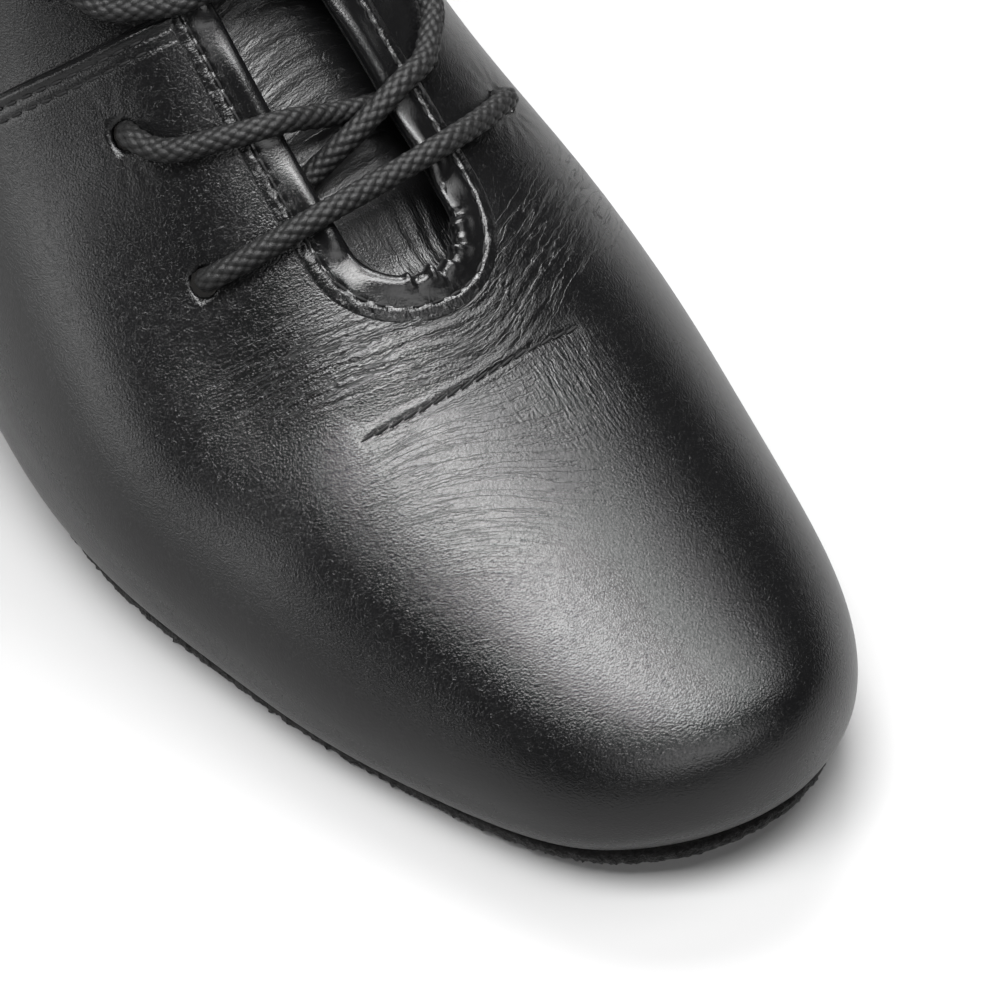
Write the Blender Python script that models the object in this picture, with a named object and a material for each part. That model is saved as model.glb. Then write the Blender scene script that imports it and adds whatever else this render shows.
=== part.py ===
"""A lace-up folk dance boot for the right foot, empty and standing on its sole.

The toe points to -Y, the medial side lies to +X and the floor is z = 0. The origin is under the
middle of the boot's length. Every piece follows one last: a family of cross-sections that runs from
the toe tip over the ball and the instep, turns round the heel and climbs the shaft to the collar.
"""
import math

import bmesh
import bpy
import numpy as np
from mathutils import Matrix, Vector

for old in list(bpy.data.objects):
    bpy.data.objects.remove(old, do_unlink=True)

MM = 0.001

# Driving dimensions of the last
LENGTH = 272 * MM
BALL_WIDTH = 90 * MM
INSTEP = 80 * MM
HEEL_LIFT = 19 * MM
TOE_SPRING = 5 * MM

# The origin's place on the last: midway along it, and a little to the lateral side of its ridge
MIDDLE_T = 136.6 * MM
MIDDLE_X = -2.3 * MM

# Leather and sole stock
WALL = 1.6 * MM
TONGUE_THICK = 1.4 * MM
SOLE_THICK = 2.6 * MM
INSOLE_THICK = 2.0 * MM
LACE_RADIUS = 1.75 * MM
GAP = 0.3 * MM

# Where the sole leaves the floor, as shares of the length from the back of the heel
SPRING_START = 0.78
ARCH_FRONT = 0.56
SEAT_FRONT = 0.22
HEEL_BREAST = 0.21

# How far the sole's edge stays inside the last's plan, at the toe, along the sides and at the heel
SOLE_HEIGHT = 8 * MM
SOLE_INSET_TOE = 2.8 * MM
SOLE_INSET_SIDE = 4.0 * MM
SOLE_INSET_HEEL = 2.0 * MM
TOE_INSET_ZONE = (0.80, 0.95)
HEEL_INSET_ZONE = (0.25, 0.10)
HEEL_TAPER = 1.5 * MM
INSOLE_INSET = 4.0 * MM

# The throat: its lowest point along the last, its half width and its shift from the ridge
THROAT_BOTTOM = 0.287
THROAT_HALF = 8.4 * MM
THROAT_SHIFT = -1.9 * MM
THROAT_ROUND = 0.027
THROAT_FADE = 0.06
THROAT_SPREAD = 0.25

# Eyelets stand at one angle round the section, both sides, from the first pair upwards
EYELET_ANGLE = 0.65
EYELET_FIRST = 0.346
EYELET_PITCH = 23.5 * MM
EYELET_PAIRS = 6
EYELET_RADIUS = 2.1 * MM

# The tongue reaches under both facings and stands above the collar
TONGUE_ANGLE = 0.58
TONGUE_START = 0.262
TONGUE_TOP = 1.035
TONGUE_DROP = 3.9 * MM
TONGUE_DROPPED = 0.34

# The lace as shares of the way between two eyelets: a bar lies outside and sags towards the toe, a
# crossing rises from the throat and climbs most steeply at its end
BAR_SPAN = (0.05, 0.95)
BAR_SAG = 0.020
CROSSING_SPAN = (0.40, 0.95)
CROSSING_RISE = (0.38, 0.60)
CROSSING_SUNK = 1.5 * LACE_RADIUS
CROSSING_CLIMB = 3.3

# The opening in the upper's floor, between the toe's and the heel's lasting margins
FLOOR_OPEN_FRONT = 0.90
FLOOR_OPEN_BACK = 0.09

# A row for each cross-section. base is the point under the foot or at the back seam and top the point
# on the ridge: t runs from the back of the heel in shares of LENGTH, rise stands above the sole in
# shares of INSTEP. lateral, medial, centre and ridge are shares of BALL_WIDTH, waist is the height of
# the widest point, and crown and under are the roundness above and below it.
COLUMNS = ("base_t", "base_rise", "top_t", "top_rise", "lateral", "medial", "centre", "ridge",
           "waist", "crown", "under")
SECTIONS = (
    (1.000, 0.100, 1.000, 0.100, 0.000, 0.000, 0.055, 0.00, 0.40, 2.00, 2.0),
    (0.994, 0.035, 0.994, 0.215, 0.120, 0.100, 0.050, 0.00, 0.39, 2.00, 2.2),
    (0.978, 0.000, 0.979, 0.280, 0.210, 0.190, 0.045, 0.00, 0.385, 2.10, 2.6),
    (0.955, -0.02, 0.955, 0.325, 0.280, 0.265, 0.035, 0.00, 0.38, 2.10, 3.0),
    (0.920, -0.03, 0.920, 0.375, 0.335, 0.330, 0.025, 0.00, 0.36, 2.10, 3.4),
    (0.868, -0.03, 0.868, 0.445, 0.390, 0.385, 0.015, 0.01, 0.325, 2.10, 3.8),
    (0.800, -0.03, 0.800, 0.530, 0.450, 0.435, 0.005, 0.02, 0.30, 2.10, 4.0),
    (0.735, -0.03, 0.735, 0.625, 0.490, 0.470, 0.000, 0.03, 0.29, 2.00, 4.0),
    (0.662, -0.03, 0.662, 0.755, 0.520, 0.475, -0.005, 0.04, 0.27, 2.00, 4.0),
    (0.588, -0.03, 0.592, 0.925, 0.515, 0.450, -0.005, 0.04, 0.25, 1.95, 4.0),
    (0.500, -0.03, 0.525, 1.120, 0.475, 0.445, 0.000, 0.03, 0.26, 1.90, 3.6),
    (0.390, -0.03, 0.475, 1.290, 0.415, 0.440, 0.010, 0.02, 0.30, 1.90, 3.4),
    (0.250, -0.03, 0.443, 1.440, 0.390, 0.410, 0.010, 0.01, 0.36, 1.90, 3.2),
    (0.120, -0.03, 0.424, 1.560, 0.375, 0.385, 0.010, 0.00, 0.42, 1.90, 3.0),
    (0.032, -0.02, 0.412, 1.650, 0.370, 0.370, 0.005, 0.00, 0.46, 1.90, 2.7),
    (0.010, 0.120, 0.404, 1.715, 0.370, 0.365, 0.005, 0.00, 0.48, 1.90, 2.4),
    (0.006, 0.430, 0.399, 1.765, 0.375, 0.370, 0.000, 0.00, 0.50, 1.95, 2.2),
    (0.020, 0.840, 0.396, 1.805, 0.380, 0.380, 0.000, 0.00, 0.50, 2.00, 2.1),
    (0.037, 1.230, 0.395, 1.840, 0.395, 0.390, 0.000, 0.00, 0.50, 2.00, 2.1),
    (0.036, 1.620, 0.398, 1.875, 0.415, 0.410, 0.000, 0.00, 0.50, 2.00, 2.1),
)
TABLE = np.array(SECTIONS)
ROUND_AT_TOE = ("base_t", "top_t", "centre", "ridge", "waist", "crown", "under")

# How finely the pieces are divided
TOE_ROWS = 18
TOE_CROWDING = 1.25
SHAFT_ROWS = 28
HEEL_STATION = 0.75
HEEL_SPAN = 0.05
HEEL_CROWDING = 2.5
THROAT_COLUMNS = 8
SIDE_COLUMNS = 16
FLOOR_COLUMN = 13
TONGUE_ROWS = 22
TONGUE_COLUMNS = 8
SOLE_ROWS = 56
BLUNT_END = 0.03
HEEL_ROWS = 28
HEEL_BLUNT_END = 0.1
LACE_POINTS = 9
HOLE_SIDES = 12
TRACE_ROWS = 560
TRACE_END = 0.85
TRACE_COLUMNS = 240


def spline(knots, values, at, start=None):
    """A cubic curve through the values, straight past its ends, with slope `start` at the first."""
    count = len(knots)
    step = np.diff(knots)
    slope = np.diff(values) / step
    matrix = np.eye(count)
    right = np.zeros(count)
    if start is not None:
        matrix[0, :2] = 2 * step[0], step[0]
        right[0] = 6 * (slope[0] - start)
    for i in range(1, count - 1):
        matrix[i, i - 1:i + 2] = step[i - 1], 2 * (step[i - 1] + step[i]), step[i]
        right[i] = 6 * (slope[i] - slope[i - 1])
    bend = np.linalg.solve(matrix, right)
    inside = np.clip(at, knots[0], knots[-1])
    i = np.clip(np.searchsorted(knots, inside) - 1, 0, count - 2)
    past, left = inside - knots[i], knots[i + 1] - inside
    cubic = (bend[i] * left ** 3 + bend[i + 1] * past ** 3) / (6 * step[i])
    linear = (values[i] / step[i] - bend[i] * step[i] / 6) * left
    linear += (values[i + 1] / step[i] - bend[i + 1] * step[i] / 6) * past
    end_slope = slope[-1] + bend[-2] * step[-1] / 6
    return cubic + linear + end_slope * np.maximum(at - knots[-1], 0)


def smooth(edge0, edge1, value):
    """A soft step from 0 at edge0 to 1 at edge1."""
    share = np.clip((value - edge0) / (edge1 - edge0), 0, 1)
    return share * share * (3 - 2 * share)


def sole_under(t):
    """Height of the sole's underside at t metres from the back of the heel."""
    share = np.asarray(t) / LENGTH
    toe = np.clip((share - SPRING_START) / (1 - SPRING_START), 0, None)
    return TOE_SPRING * toe ** 2 + HEEL_LIFT * smooth(ARCH_FRONT, SEAT_FRONT, share)


def sole_top(t):
    """Height of the sole's upper side at t."""
    return sole_under(t) + SOLE_THICK


SIZES = np.array((LENGTH, INSTEP, LENGTH, INSTEP, BALL_WIDTH, BALL_WIDTH))
STEPS = np.linalg.norm(np.diff(TABLE[:, :6] * SIZES, axis=0), axis=1)
KNOTS = np.concatenate(([0], np.cumsum(STEPS))) / STEPS.sum()


def section(s):
    """The table's columns at s, from 0 at the toe tip to 1 at the collar."""
    columns = {}
    for index, name in enumerate(COLUMNS):
        start = 0.0 if name in ROUND_AT_TOE else None
        columns[name] = spline(KNOTS, TABLE[:, index], s, start)
    return columns


def surface(s, angle):
    """Points of the last: angle is 0 on the ridge, negative laterally, and pi under the foot."""
    row = section(s)
    base_t = row["base_t"] * LENGTH
    top_t = row["top_t"] * LENGTH
    base_z = sole_top(base_t) + row["base_rise"] * INSTEP
    top_z = sole_top(top_t) + row["top_rise"] * INSTEP
    width = np.where(angle < 0, row["lateral"], row["medial"]) * BALL_WIDTH
    turn = math.pi / 2 - np.abs(angle)
    power = 2 / np.where(turn >= 0, row["crown"], row["under"])
    across = np.abs(np.cos(turn)) ** power
    up = np.abs(np.sin(turn)) ** power
    waist = row["waist"]
    share = np.where(turn >= 0, waist + (1 - waist) * up, waist * (1 - up))
    lean = row["ridge"] * np.clip(share - waist, 0, None) / (1 - waist)
    x = (row["centre"] + lean) * BALL_WIDTH + np.sign(angle) * width * across - MIDDLE_X
    t = base_t + (top_t - base_t) * share
    z = np.maximum(base_z + (top_z - base_z) * share, sole_top(t) + GAP)
    return np.stack((x, MIDDLE_T - t, z), axis=-1)


def normal(s, angle):
    """Outward unit normals of the last."""
    ds, da = 0.002, 0.01
    angle = np.clip(angle, da - math.pi, math.pi - da)
    along = surface(s + ds, angle) - surface(s - ds, angle)
    round_section = surface(s, angle + da) - surface(s, angle - da)
    out = np.cross(round_section, along)
    return out / np.linalg.norm(out, axis=-1, keepdims=True)


def skin(s, angle, lift):
    """Points that stand `lift` outside the last."""
    lift = np.broadcast_to(lift, np.shape(s))
    return surface(s, angle) + normal(s, angle) * lift[..., None]


def throat_angle(s, side):
    """The section angle of the throat's edge, laterally for side -1 and medially for side 1."""
    row = section(np.maximum(s, THROAT_BOTTOM))
    width = np.where(side < 0, row["lateral"], row["medial"]) * BALL_WIDTH
    return np.arcsin((THROAT_HALF + side * THROAT_SHIFT) / width)


def eyelet_stations():
    """The s of each eyelet pair, a pitch apart along the facing."""
    s = np.linspace(EYELET_FIRST, 1, TRACE_ROWS)
    line = surface(s, np.full(s.shape, EYELET_ANGLE))
    run = np.concatenate(([0], np.cumsum(np.linalg.norm(np.diff(line, axis=0), axis=1))))
    return [float(np.interp(pair * EYELET_PITCH, run, s)) for pair in range(EYELET_PAIRS)]


def level_outline(height, lift, inset_toe, inset_side, inset_heel):
    """The plan, at a height above the sole, of a skin over the last, moved inwards by an inset.

    Gives t and x of the lateral and of the medial side, from the toe to the heel.
    """
    s = np.linspace(0, TRACE_END, TRACE_ROWS)[1:]
    around = np.linspace(math.pi / 3, math.pi, TRACE_COLUMNS)
    sides = []
    for sign in (-1, 1):
        grid_s, grid_angle = np.meshgrid(s, sign * around, indexing="ij")
        points = skin(grid_s, grid_angle, lift)
        t = MIDDLE_T - points[..., 1]
        spare = points[..., 2] - sole_top(t) - height
        below = spare < 0
        rows = np.flatnonzero(below.any(axis=1) & ~below[:, 0])
        first = below[rows].argmax(axis=1)
        high, low = spare[rows, first - 1], spare[rows, first]
        share = high / (high - low)
        x = points[rows, first - 1, 0] * (1 - share) + points[rows, first, 0] * share
        t = t[rows, first - 1] * (1 - share) + t[rows, first] * share
        dx, dt = np.gradient(x), np.gradient(t)
        size = np.hypot(dx, dt)
        inset = inset_side + (inset_toe - inset_side) * smooth(*TOE_INSET_ZONE, t / LENGTH)
        inset += (inset_heel - inset_side) * smooth(*HEEL_INSET_ZONE, t / LENGTH)
        sides.append((t - sign * inset * dx / size, x + sign * inset * dt / size))
    return sides


def give(name, mesh, colour, roughness):
    """A named object with its own material."""
    piece = bpy.data.objects.new(name, mesh)
    bpy.context.collection.objects.link(piece)
    material = bpy.data.materials.new(name)
    material.use_nodes = True
    shader = material.node_tree.nodes["Principled BSDF"]
    shader.inputs["Base Color"].default_value = (*colour, 1)
    shader.inputs["Roughness"].default_value = roughness
    mesh.materials.append(material)
    mesh.shade_smooth()
    mesh.set_sharp_from_angle(angle=math.radians(40))
    return piece


def mesh_of(bm, name):
    """The bmesh as a mesh with its doubled points welded."""
    bmesh.ops.remove_doubles(bm, verts=bm.verts, dist=0.01 * MM)
    mesh = bpy.data.meshes.new(name)
    bm.to_mesh(mesh)
    bm.free()
    return mesh


def grid(columns, rows, place):
    """A grid whose points are placed from their column and row numbers."""
    bm = bmesh.new()
    bmesh.ops.create_grid(bm, x_segments=columns, y_segments=rows, size=1)
    flat = np.array([vert.co for vert in bm.verts])
    column = np.rint((flat[:, 0] + 1) / 2 * columns)
    row = np.rint((flat[:, 1] + 1) / 2 * rows)
    for vert, point in zip(bm.verts, place(column, row)):
        vert.co = point
    return bm, column, row


def thicken(piece, thickness, offset):
    """A Solidify modifier of even thickness."""
    solidify = piece.modifiers.new("Thickness", "SOLIDIFY")
    solidify.thickness = thickness
    solidify.offset = offset
    solidify.use_even_offset = True


def boolean(piece, other, operation):
    """Cut or join `other`, which stays as a hidden helper."""
    modifier = piece.modifiers.new(other.name, "BOOLEAN")
    modifier.operation = operation
    modifier.solver = "EXACT"
    modifier.object = other
    other.hide_render = True
    other.display_type = "WIRE"


def row_stations():
    """The s of each row of the upper: close together at the toe tip and round the heel."""
    toe = THROAT_BOTTOM * np.linspace(0, 1, TOE_ROWS + 1) ** TOE_CROWDING
    s = np.linspace(THROAT_BOTTOM, 1, TRACE_ROWS)
    crowding = 1 + HEEL_CROWDING * np.exp(-((s - HEEL_STATION) / HEEL_SPAN) ** 2)
    run = np.cumsum(crowding)
    share = np.linspace(run[0], run[-1], SHAFT_ROWS + 1)
    return np.concatenate((toe, np.interp(share, run, s)[1:]))


ROW_STATIONS = row_stations()


def upper_station(column, row):
    """s and angle of the upper's grid: its rows bend round the throat's bottom."""
    half = THROAT_COLUMNS / 2
    station = np.interp(row, np.arange(len(ROW_STATIONS)), ROW_STATIONS)
    number = column - half - SIDE_COLUMNS
    side = np.sign(number)
    sweep = np.clip(np.abs(number) / half, 0, 1) * math.pi / 2
    outer = np.clip((np.abs(number) - half) / SIDE_COLUMNS, 0, 1)
    bow = (1 - np.cos(sweep)) * np.exp(-(outer / THROAT_SPREAD) ** 2)
    fade = np.exp(-((station - THROAT_BOTTOM) / THROAT_FADE) ** 2)
    s = np.minimum(station + THROAT_ROUND * bow * fade, 1)
    edge = throat_angle(s, side)
    angle = side * (edge * np.sin(sweep) + (math.pi - edge) * outer)
    return s, angle


def make_upper():
    """Vamp, quarters and shaft as one wall, open at the collar, the throat and the floor."""
    columns = THROAT_COLUMNS + 2 * SIDE_COLUMNS
    bm, column, row = grid(columns, TOE_ROWS + SHAFT_ROWS, lambda c, r: surface(*upper_station(c, r)))
    s, _ = upper_station(column, row)
    base = section(s)["base_t"]
    number = column - columns / 2
    open_faces = []
    for face in bm.faces:
        corners = [vert.index for vert in face.verts]
        across = abs(number[corners].mean())
        in_throat = across < THROAT_COLUMNS / 2 and row[corners].min() >= TOE_ROWS
        floor_t = base[corners].mean()
        past_margin = across > THROAT_COLUMNS / 2 + FLOOR_COLUMN
        in_floor = past_margin and FLOOR_OPEN_BACK < floor_t < FLOOR_OPEN_FRONT
        if in_throat or in_floor:
            open_faces.append(face)
    bmesh.ops.delete(bm, geom=open_faces, context="FACES")
    upper = give("upper", mesh_of(bm, "upper"), (0.012, 0.012, 0.013), 0.38)
    thicken(upper, WALL, -1)
    holes = bmesh.new()
    for station in eyelet_stations():
        for side in (-1, 1):
            s = np.array([station])
            angle = np.array([side * EYELET_ANGLE])
            outward = Vector(normal(s, angle)[0])
            turn = outward.to_track_quat("Z", "Y").to_matrix().to_4x4()
            place = Matrix.Translation(Vector(surface(s, angle)[0])) @ turn
            bmesh.ops.create_cone(holes, cap_ends=True, segments=HOLE_SIDES, radius1=EYELET_RADIUS,
                                  radius2=EYELET_RADIUS, depth=8 * WALL, matrix=place)
    mesh = bpy.data.meshes.new("eyelet_cutter")
    holes.to_mesh(mesh)
    holes.free()
    cutter = bpy.data.objects.new("eyelet_cutter", mesh)
    bpy.context.collection.objects.link(cutter)
    boolean(upper, cutter, "DIFFERENCE")


def make_tongue():
    """A padded leather strip under the throat, stitched under the vamp at its lower end."""
    def place(column, row):
        s = TONGUE_START + (TONGUE_TOP - TONGUE_START) * row / TONGUE_ROWS
        angle = TONGUE_ANGLE * (2 * column / TONGUE_COLUMNS - 1)
        drop = TONGUE_DROP * smooth(THROAT_BOTTOM - THROAT_ROUND, TONGUE_DROPPED, s)
        return skin(s, angle, -(WALL + GAP + drop))
    bm, _, _ = grid(TONGUE_COLUMNS, TONGUE_ROWS, place)
    tongue = give("tongue", mesh_of(bm, "tongue"), (0.014, 0.014, 0.015), 0.42)
    thicken(tongue, TONGUE_THICK, -1)


def make_layer(name, outline, under, thickness, colour, roughness):
    """A sheet that keeps to an outline, level from side to side and following a height along the foot."""
    (lateral_t, lateral_x), (medial_t, medial_x) = outline
    back = max(lateral_t.min(), medial_t.min())
    front = min(lateral_t.max(), medial_t.max())

    def place(column, row):
        share = (1 - np.cos(math.pi * (BLUNT_END + (1 - 2 * BLUNT_END) * row / SOLE_ROWS))) / 2
        t = front + (back - front) * share
        x = np.where(column < 1, np.interp(t, lateral_t[::-1], lateral_x[::-1]),
                     np.interp(t, medial_t[::-1], medial_x[::-1]))
        return np.stack((x, MIDDLE_T - t, under(t)), axis=-1)
    bm, _, _ = grid(1, SOLE_ROWS, place)
    lower = list(bm.faces)
    top = bmesh.ops.extrude_face_region(bm, geom=lower)["geom"]
    raised = [item for item in top if isinstance(item, bmesh.types.BMVert)]
    bmesh.ops.translate(bm, verts=raised, vec=(0, 0, thickness))
    bmesh.ops.reverse_faces(bm, faces=lower)
    bmesh.ops.recalc_face_normals(bm, faces=bm.faces)
    return give(name, mesh_of(bm, name), colour, roughness)


def make_heel(outline):
    """A low straight heel block under the seat of the sole."""
    (lateral_t, lateral_x), (medial_t, medial_x) = outline
    back = max(lateral_t.min(), medial_t.min())
    breast = HEEL_BREAST * LENGTH

    def place(column, row):
        share = 1 - np.cos(math.pi / 2 * (HEEL_BLUNT_END + (1 - HEEL_BLUNT_END) * row / HEEL_ROWS))
        t = back + (breast - back) * share
        x = np.where(column < 1, np.interp(t, lateral_t[::-1], lateral_x[::-1]),
                     np.interp(t, medial_t[::-1], medial_x[::-1]))
        return np.stack((x, MIDDLE_T - t, np.full(t.shape, HEEL_LIFT - GAP)), axis=-1)
    bm, _, _ = grid(1, HEEL_ROWS, place)
    seat = list(bm.faces)
    middle = Vector((0, MIDDLE_T - (back + breast) / 2, 0))
    foot = bmesh.ops.extrude_face_region(bm, geom=seat)["geom"]
    lowered = [item for item in foot if isinstance(item, bmesh.types.BMVert)]
    for vert in lowered:
        inward = (middle - vert.co) * Vector((1, 1, 0))
        vert.co += inward.normalized() * HEEL_TAPER
        vert.co.z = 0
    bmesh.ops.recalc_face_normals(bm, faces=bm.faces)
    return give("heel", mesh_of(bm, "heel"), (0.015, 0.014, 0.014), 0.5)


def tube(points, name):
    """A closed round cord through the points."""
    curve = bpy.data.curves.new(name, "CURVE")
    curve.dimensions = "3D"
    curve.bevel_depth = LACE_RADIUS
    curve.bevel_resolution = 2
    curve.use_fill_caps = True
    line = curve.splines.new("POLY")
    line.points.add(len(points) - 1)
    for point, target in zip(line.points, points):
        point.co = (*target, 1)
    holder = bpy.data.objects.new(name, curve)
    bm = bmesh.new()
    bm.from_mesh(bpy.data.meshes.new_from_object(holder))
    bpy.data.objects.remove(holder)
    return mesh_of(bm, name)


def make_laces():
    """The lowest bar over the throat, then a crossing between each two eyelet pairs."""
    colour, roughness = (0.01, 0.01, 0.011), 0.8
    clear = LACE_RADIUS + GAP
    stations = eyelet_stations()
    share = np.linspace(*BAR_SPAN, LACE_POINTS)
    angle = EYELET_ANGLE * (2 * share - 1)
    sag = BAR_SAG * (1 - (2 * share - 1) ** 2)
    points = skin(stations[0] - sag, angle, clear)
    give("lace_bar_1", tube(points, "lace_bar_1"), colour, roughness)
    for pair in range(1, EYELET_PAIRS):
        name = f"lace_cross_{pair + 1}"
        share = np.linspace(*CROSSING_SPAN, LACE_POINTS)
        climb = share ** CROSSING_CLIMB
        s = stations[pair - 1] + (stations[pair] - stations[pair - 1]) * climb
        lift = (clear + CROSSING_SUNK) * smooth(*CROSSING_RISE, share) - CROSSING_SUNK
        angle = EYELET_ANGLE * (2 * share - 1)
        cross = give(name, tube(skin(s, angle, lift), name), colour, roughness)
        helper_mesh = tube(skin(s, -angle, lift), name + "_return")
        helper = bpy.data.objects.new(name + "_return", helper_mesh)
        bpy.context.collection.objects.link(helper)
        boolean(cross, helper, "UNION")


sole_outline = level_outline(SOLE_HEIGHT, 0, SOLE_INSET_TOE, SOLE_INSET_SIDE, SOLE_INSET_HEEL)
floor_rise = 2 * GAP + WALL
insole_level = floor_rise + 2 * GAP
insole_outline = level_outline(insole_level, -WALL - GAP, INSOLE_INSET, INSOLE_INSET, INSOLE_INSET)

make_layer("outsole", sole_outline, sole_under, SOLE_THICK, (0.018, 0.017, 0.017), 0.95)
make_heel(sole_outline)
make_upper()
make_layer("insole", insole_outline, lambda t: sole_top(t) + floor_rise, INSOLE_THICK, (0.06, 0.055, 0.05), 0.8)
make_tongue()
make_laces()
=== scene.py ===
"""The looks of a lace-up folk dance boot for the right foot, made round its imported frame.

The toe points to -Y, the medial side lies to +X and the floor is z = 0, in metres. All leather follows
one last, the frame's with softer hollows. It is described on the last by s, from 0 at the toe tip to 1 at
the collar, and by an angle round the foot, 0 on the ridge, negative laterally and pi under the foot.
"""
import math

import bmesh
import bpy
import numpy as np
from mathutils import Matrix, Vector
from mathutils.kdtree import KDTree


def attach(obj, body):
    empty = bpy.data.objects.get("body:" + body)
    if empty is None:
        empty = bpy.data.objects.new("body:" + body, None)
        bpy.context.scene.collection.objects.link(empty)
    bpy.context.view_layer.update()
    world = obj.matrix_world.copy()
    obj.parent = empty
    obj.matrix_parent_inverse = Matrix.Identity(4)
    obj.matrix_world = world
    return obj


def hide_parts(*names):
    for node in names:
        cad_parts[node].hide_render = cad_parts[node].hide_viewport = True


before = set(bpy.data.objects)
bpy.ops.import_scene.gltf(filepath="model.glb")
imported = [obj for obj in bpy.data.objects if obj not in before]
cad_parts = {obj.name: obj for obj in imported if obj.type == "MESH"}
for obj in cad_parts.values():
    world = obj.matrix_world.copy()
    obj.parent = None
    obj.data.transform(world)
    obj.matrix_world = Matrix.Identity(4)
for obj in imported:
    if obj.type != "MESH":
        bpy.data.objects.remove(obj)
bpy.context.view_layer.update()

# Vamp
# The front panel of the upper, soft black grained leather with a satin gloss. It is cut with a U for the
# throat, darted over the toes, pulled over the last and turned under the foot, and sewn over the shaft.
MM = 0.001
LENGTH = 272 * MM
BALL_WIDTH = 90 * MM
INSTEP = 80 * MM
HEEL_LIFT = 19 * MM
TOE_SPRING = 5 * MM
SOLE_THICK = 2.6 * MM
GAP = 0.3 * MM
MIDDLE_T = 136.6 * MM
MIDDLE_X = -2.3 * MM
SPRING_START = 0.78
ARCH_FRONT = 0.56
SEAT_FRONT = 0.22

# A row for each cross-section: base is the point under the foot or at the back seam, top the one on the
# ridge, t runs from the back of the heel in shares of LENGTH, rise in shares of INSTEP, and the widths in
# shares of BALL_WIDTH. waist is the height of the widest point, crown and under its roundness.
COLUMNS = ("base_t", "base_rise", "top_t", "top_rise", "lateral", "medial", "centre", "ridge",
           "waist", "crown", "under")
SECTIONS = np.array((
    (1.000, 0.100, 1.000, 0.100, 0.000, 0.000, 0.055, 0.00, 0.40, 2.00, 2.0),
    (0.994, 0.035, 0.994, 0.215, 0.120, 0.100, 0.050, 0.00, 0.39, 2.00, 2.2),
    (0.978, 0.000, 0.979, 0.280, 0.210, 0.190, 0.045, 0.00, 0.385, 2.10, 2.6),
    (0.955, -0.02, 0.955, 0.325, 0.280, 0.265, 0.035, 0.00, 0.38, 2.10, 3.0),
    (0.920, -0.03, 0.920, 0.375, 0.335, 0.330, 0.025, 0.00, 0.36, 2.10, 3.4),
    (0.868, -0.03, 0.868, 0.445, 0.390, 0.385, 0.015, 0.01, 0.325, 2.10, 3.8),
    (0.800, -0.03, 0.800, 0.530, 0.450, 0.435, 0.005, 0.02, 0.30, 2.10, 4.0),
    (0.735, -0.03, 0.735, 0.625, 0.490, 0.470, 0.000, 0.03, 0.29, 2.00, 4.0),
    (0.662, -0.03, 0.662, 0.755, 0.520, 0.475, -0.005, 0.04, 0.27, 2.00, 4.0),
    (0.588, -0.03, 0.592, 0.925, 0.515, 0.450, -0.005, 0.04, 0.25, 1.95, 4.0),
    (0.500, -0.03, 0.525, 1.120, 0.475, 0.445, 0.000, 0.03, 0.26, 1.90, 3.6),
    (0.390, -0.03, 0.475, 1.290, 0.415, 0.440, 0.010, 0.02, 0.30, 1.90, 3.4),
    (0.250, -0.03, 0.443, 1.440, 0.390, 0.410, 0.010, 0.01, 0.36, 1.90, 3.2),
    (0.120, -0.03, 0.424, 1.560, 0.375, 0.385, 0.010, 0.00, 0.42, 1.90, 3.0),
    (0.032, -0.02, 0.412, 1.650, 0.370, 0.370, 0.005, 0.00, 0.46, 1.90, 2.7),
    (0.010, 0.120, 0.404, 1.715, 0.370, 0.365, 0.005, 0.00, 0.48, 1.90, 2.4),
    (0.006, 0.430, 0.399, 1.765, 0.375, 0.370, 0.000, 0.00, 0.50, 1.95, 2.2),
    (0.020, 0.840, 0.396, 1.805, 0.380, 0.380, 0.000, 0.00, 0.50, 2.00, 2.1),
    (0.037, 1.230, 0.395, 1.840, 0.395, 0.390, 0.000, 0.00, 0.50, 2.00, 2.1),
    (0.036, 1.620, 0.398, 1.875, 0.415, 0.410, 0.000, 0.00, 0.50, 2.00, 2.1),
))
ROUND_AT_TOE = ("base_t", "top_t", "centre", "ridge", "waist", "crown", "under")
SIZES = np.array((LENGTH, INSTEP, LENGTH, INSTEP, BALL_WIDTH, BALL_WIDTH))
STEPS = np.linalg.norm(np.diff(SECTIONS[:, :6] * SIZES, axis=0), axis=1)
KNOTS = np.concatenate(([0], np.cumsum(STEPS))) / STEPS.sum()
TOE_TIP = 0.004

# The leather stands up towards the throat and is hollow on the lateral flank: how much, the angles and
# half widths, and the s of the soft steps between which this is so
THROAT_RISE = 1.5 * MM
RISE_WIDTH = 0.5
RISE_S = ((0.238, 0.30), (0.8, 0.5))
FLANK_HOLLOW = 3.0 * MM
FLANK_ANGLE = -0.76
FLANK_WIDTH = 0.33
FLANK_S = ((0.235, 0.31), (0.52, 0.42))


def spline(knots, values, at, start=None):
    """A cubic curve through the values, straight past its ends, with slope `start` at the first."""
    count = len(knots)
    step = np.diff(knots)
    slope = np.diff(values) / step
    matrix = np.eye(count)
    right = np.zeros(count)
    if start is not None:
        matrix[0, :2] = 2 * step[0], step[0]
        right[0] = 6 * (slope[0] - start)
    for i in range(1, count - 1):
        matrix[i, i - 1:i + 2] = step[i - 1], 2 * (step[i - 1] + step[i]), step[i]
        right[i] = 6 * (slope[i] - slope[i - 1])
    bend = np.linalg.solve(matrix, right)
    inside = np.clip(at, knots[0], knots[-1])
    i = np.clip(np.searchsorted(knots, inside) - 1, 0, count - 2)
    past, left = inside - knots[i], knots[i + 1] - inside
    cubic = (bend[i] * left ** 3 + bend[i + 1] * past ** 3) / (6 * step[i])
    linear = (values[i] / step[i] - bend[i] * step[i] / 6) * left
    linear += (values[i + 1] / step[i] - bend[i + 1] * step[i] / 6) * past
    end_slope = slope[-1] + bend[-2] * step[-1] / 6
    return cubic + linear + end_slope * np.maximum(at - knots[-1], 0)


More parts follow.
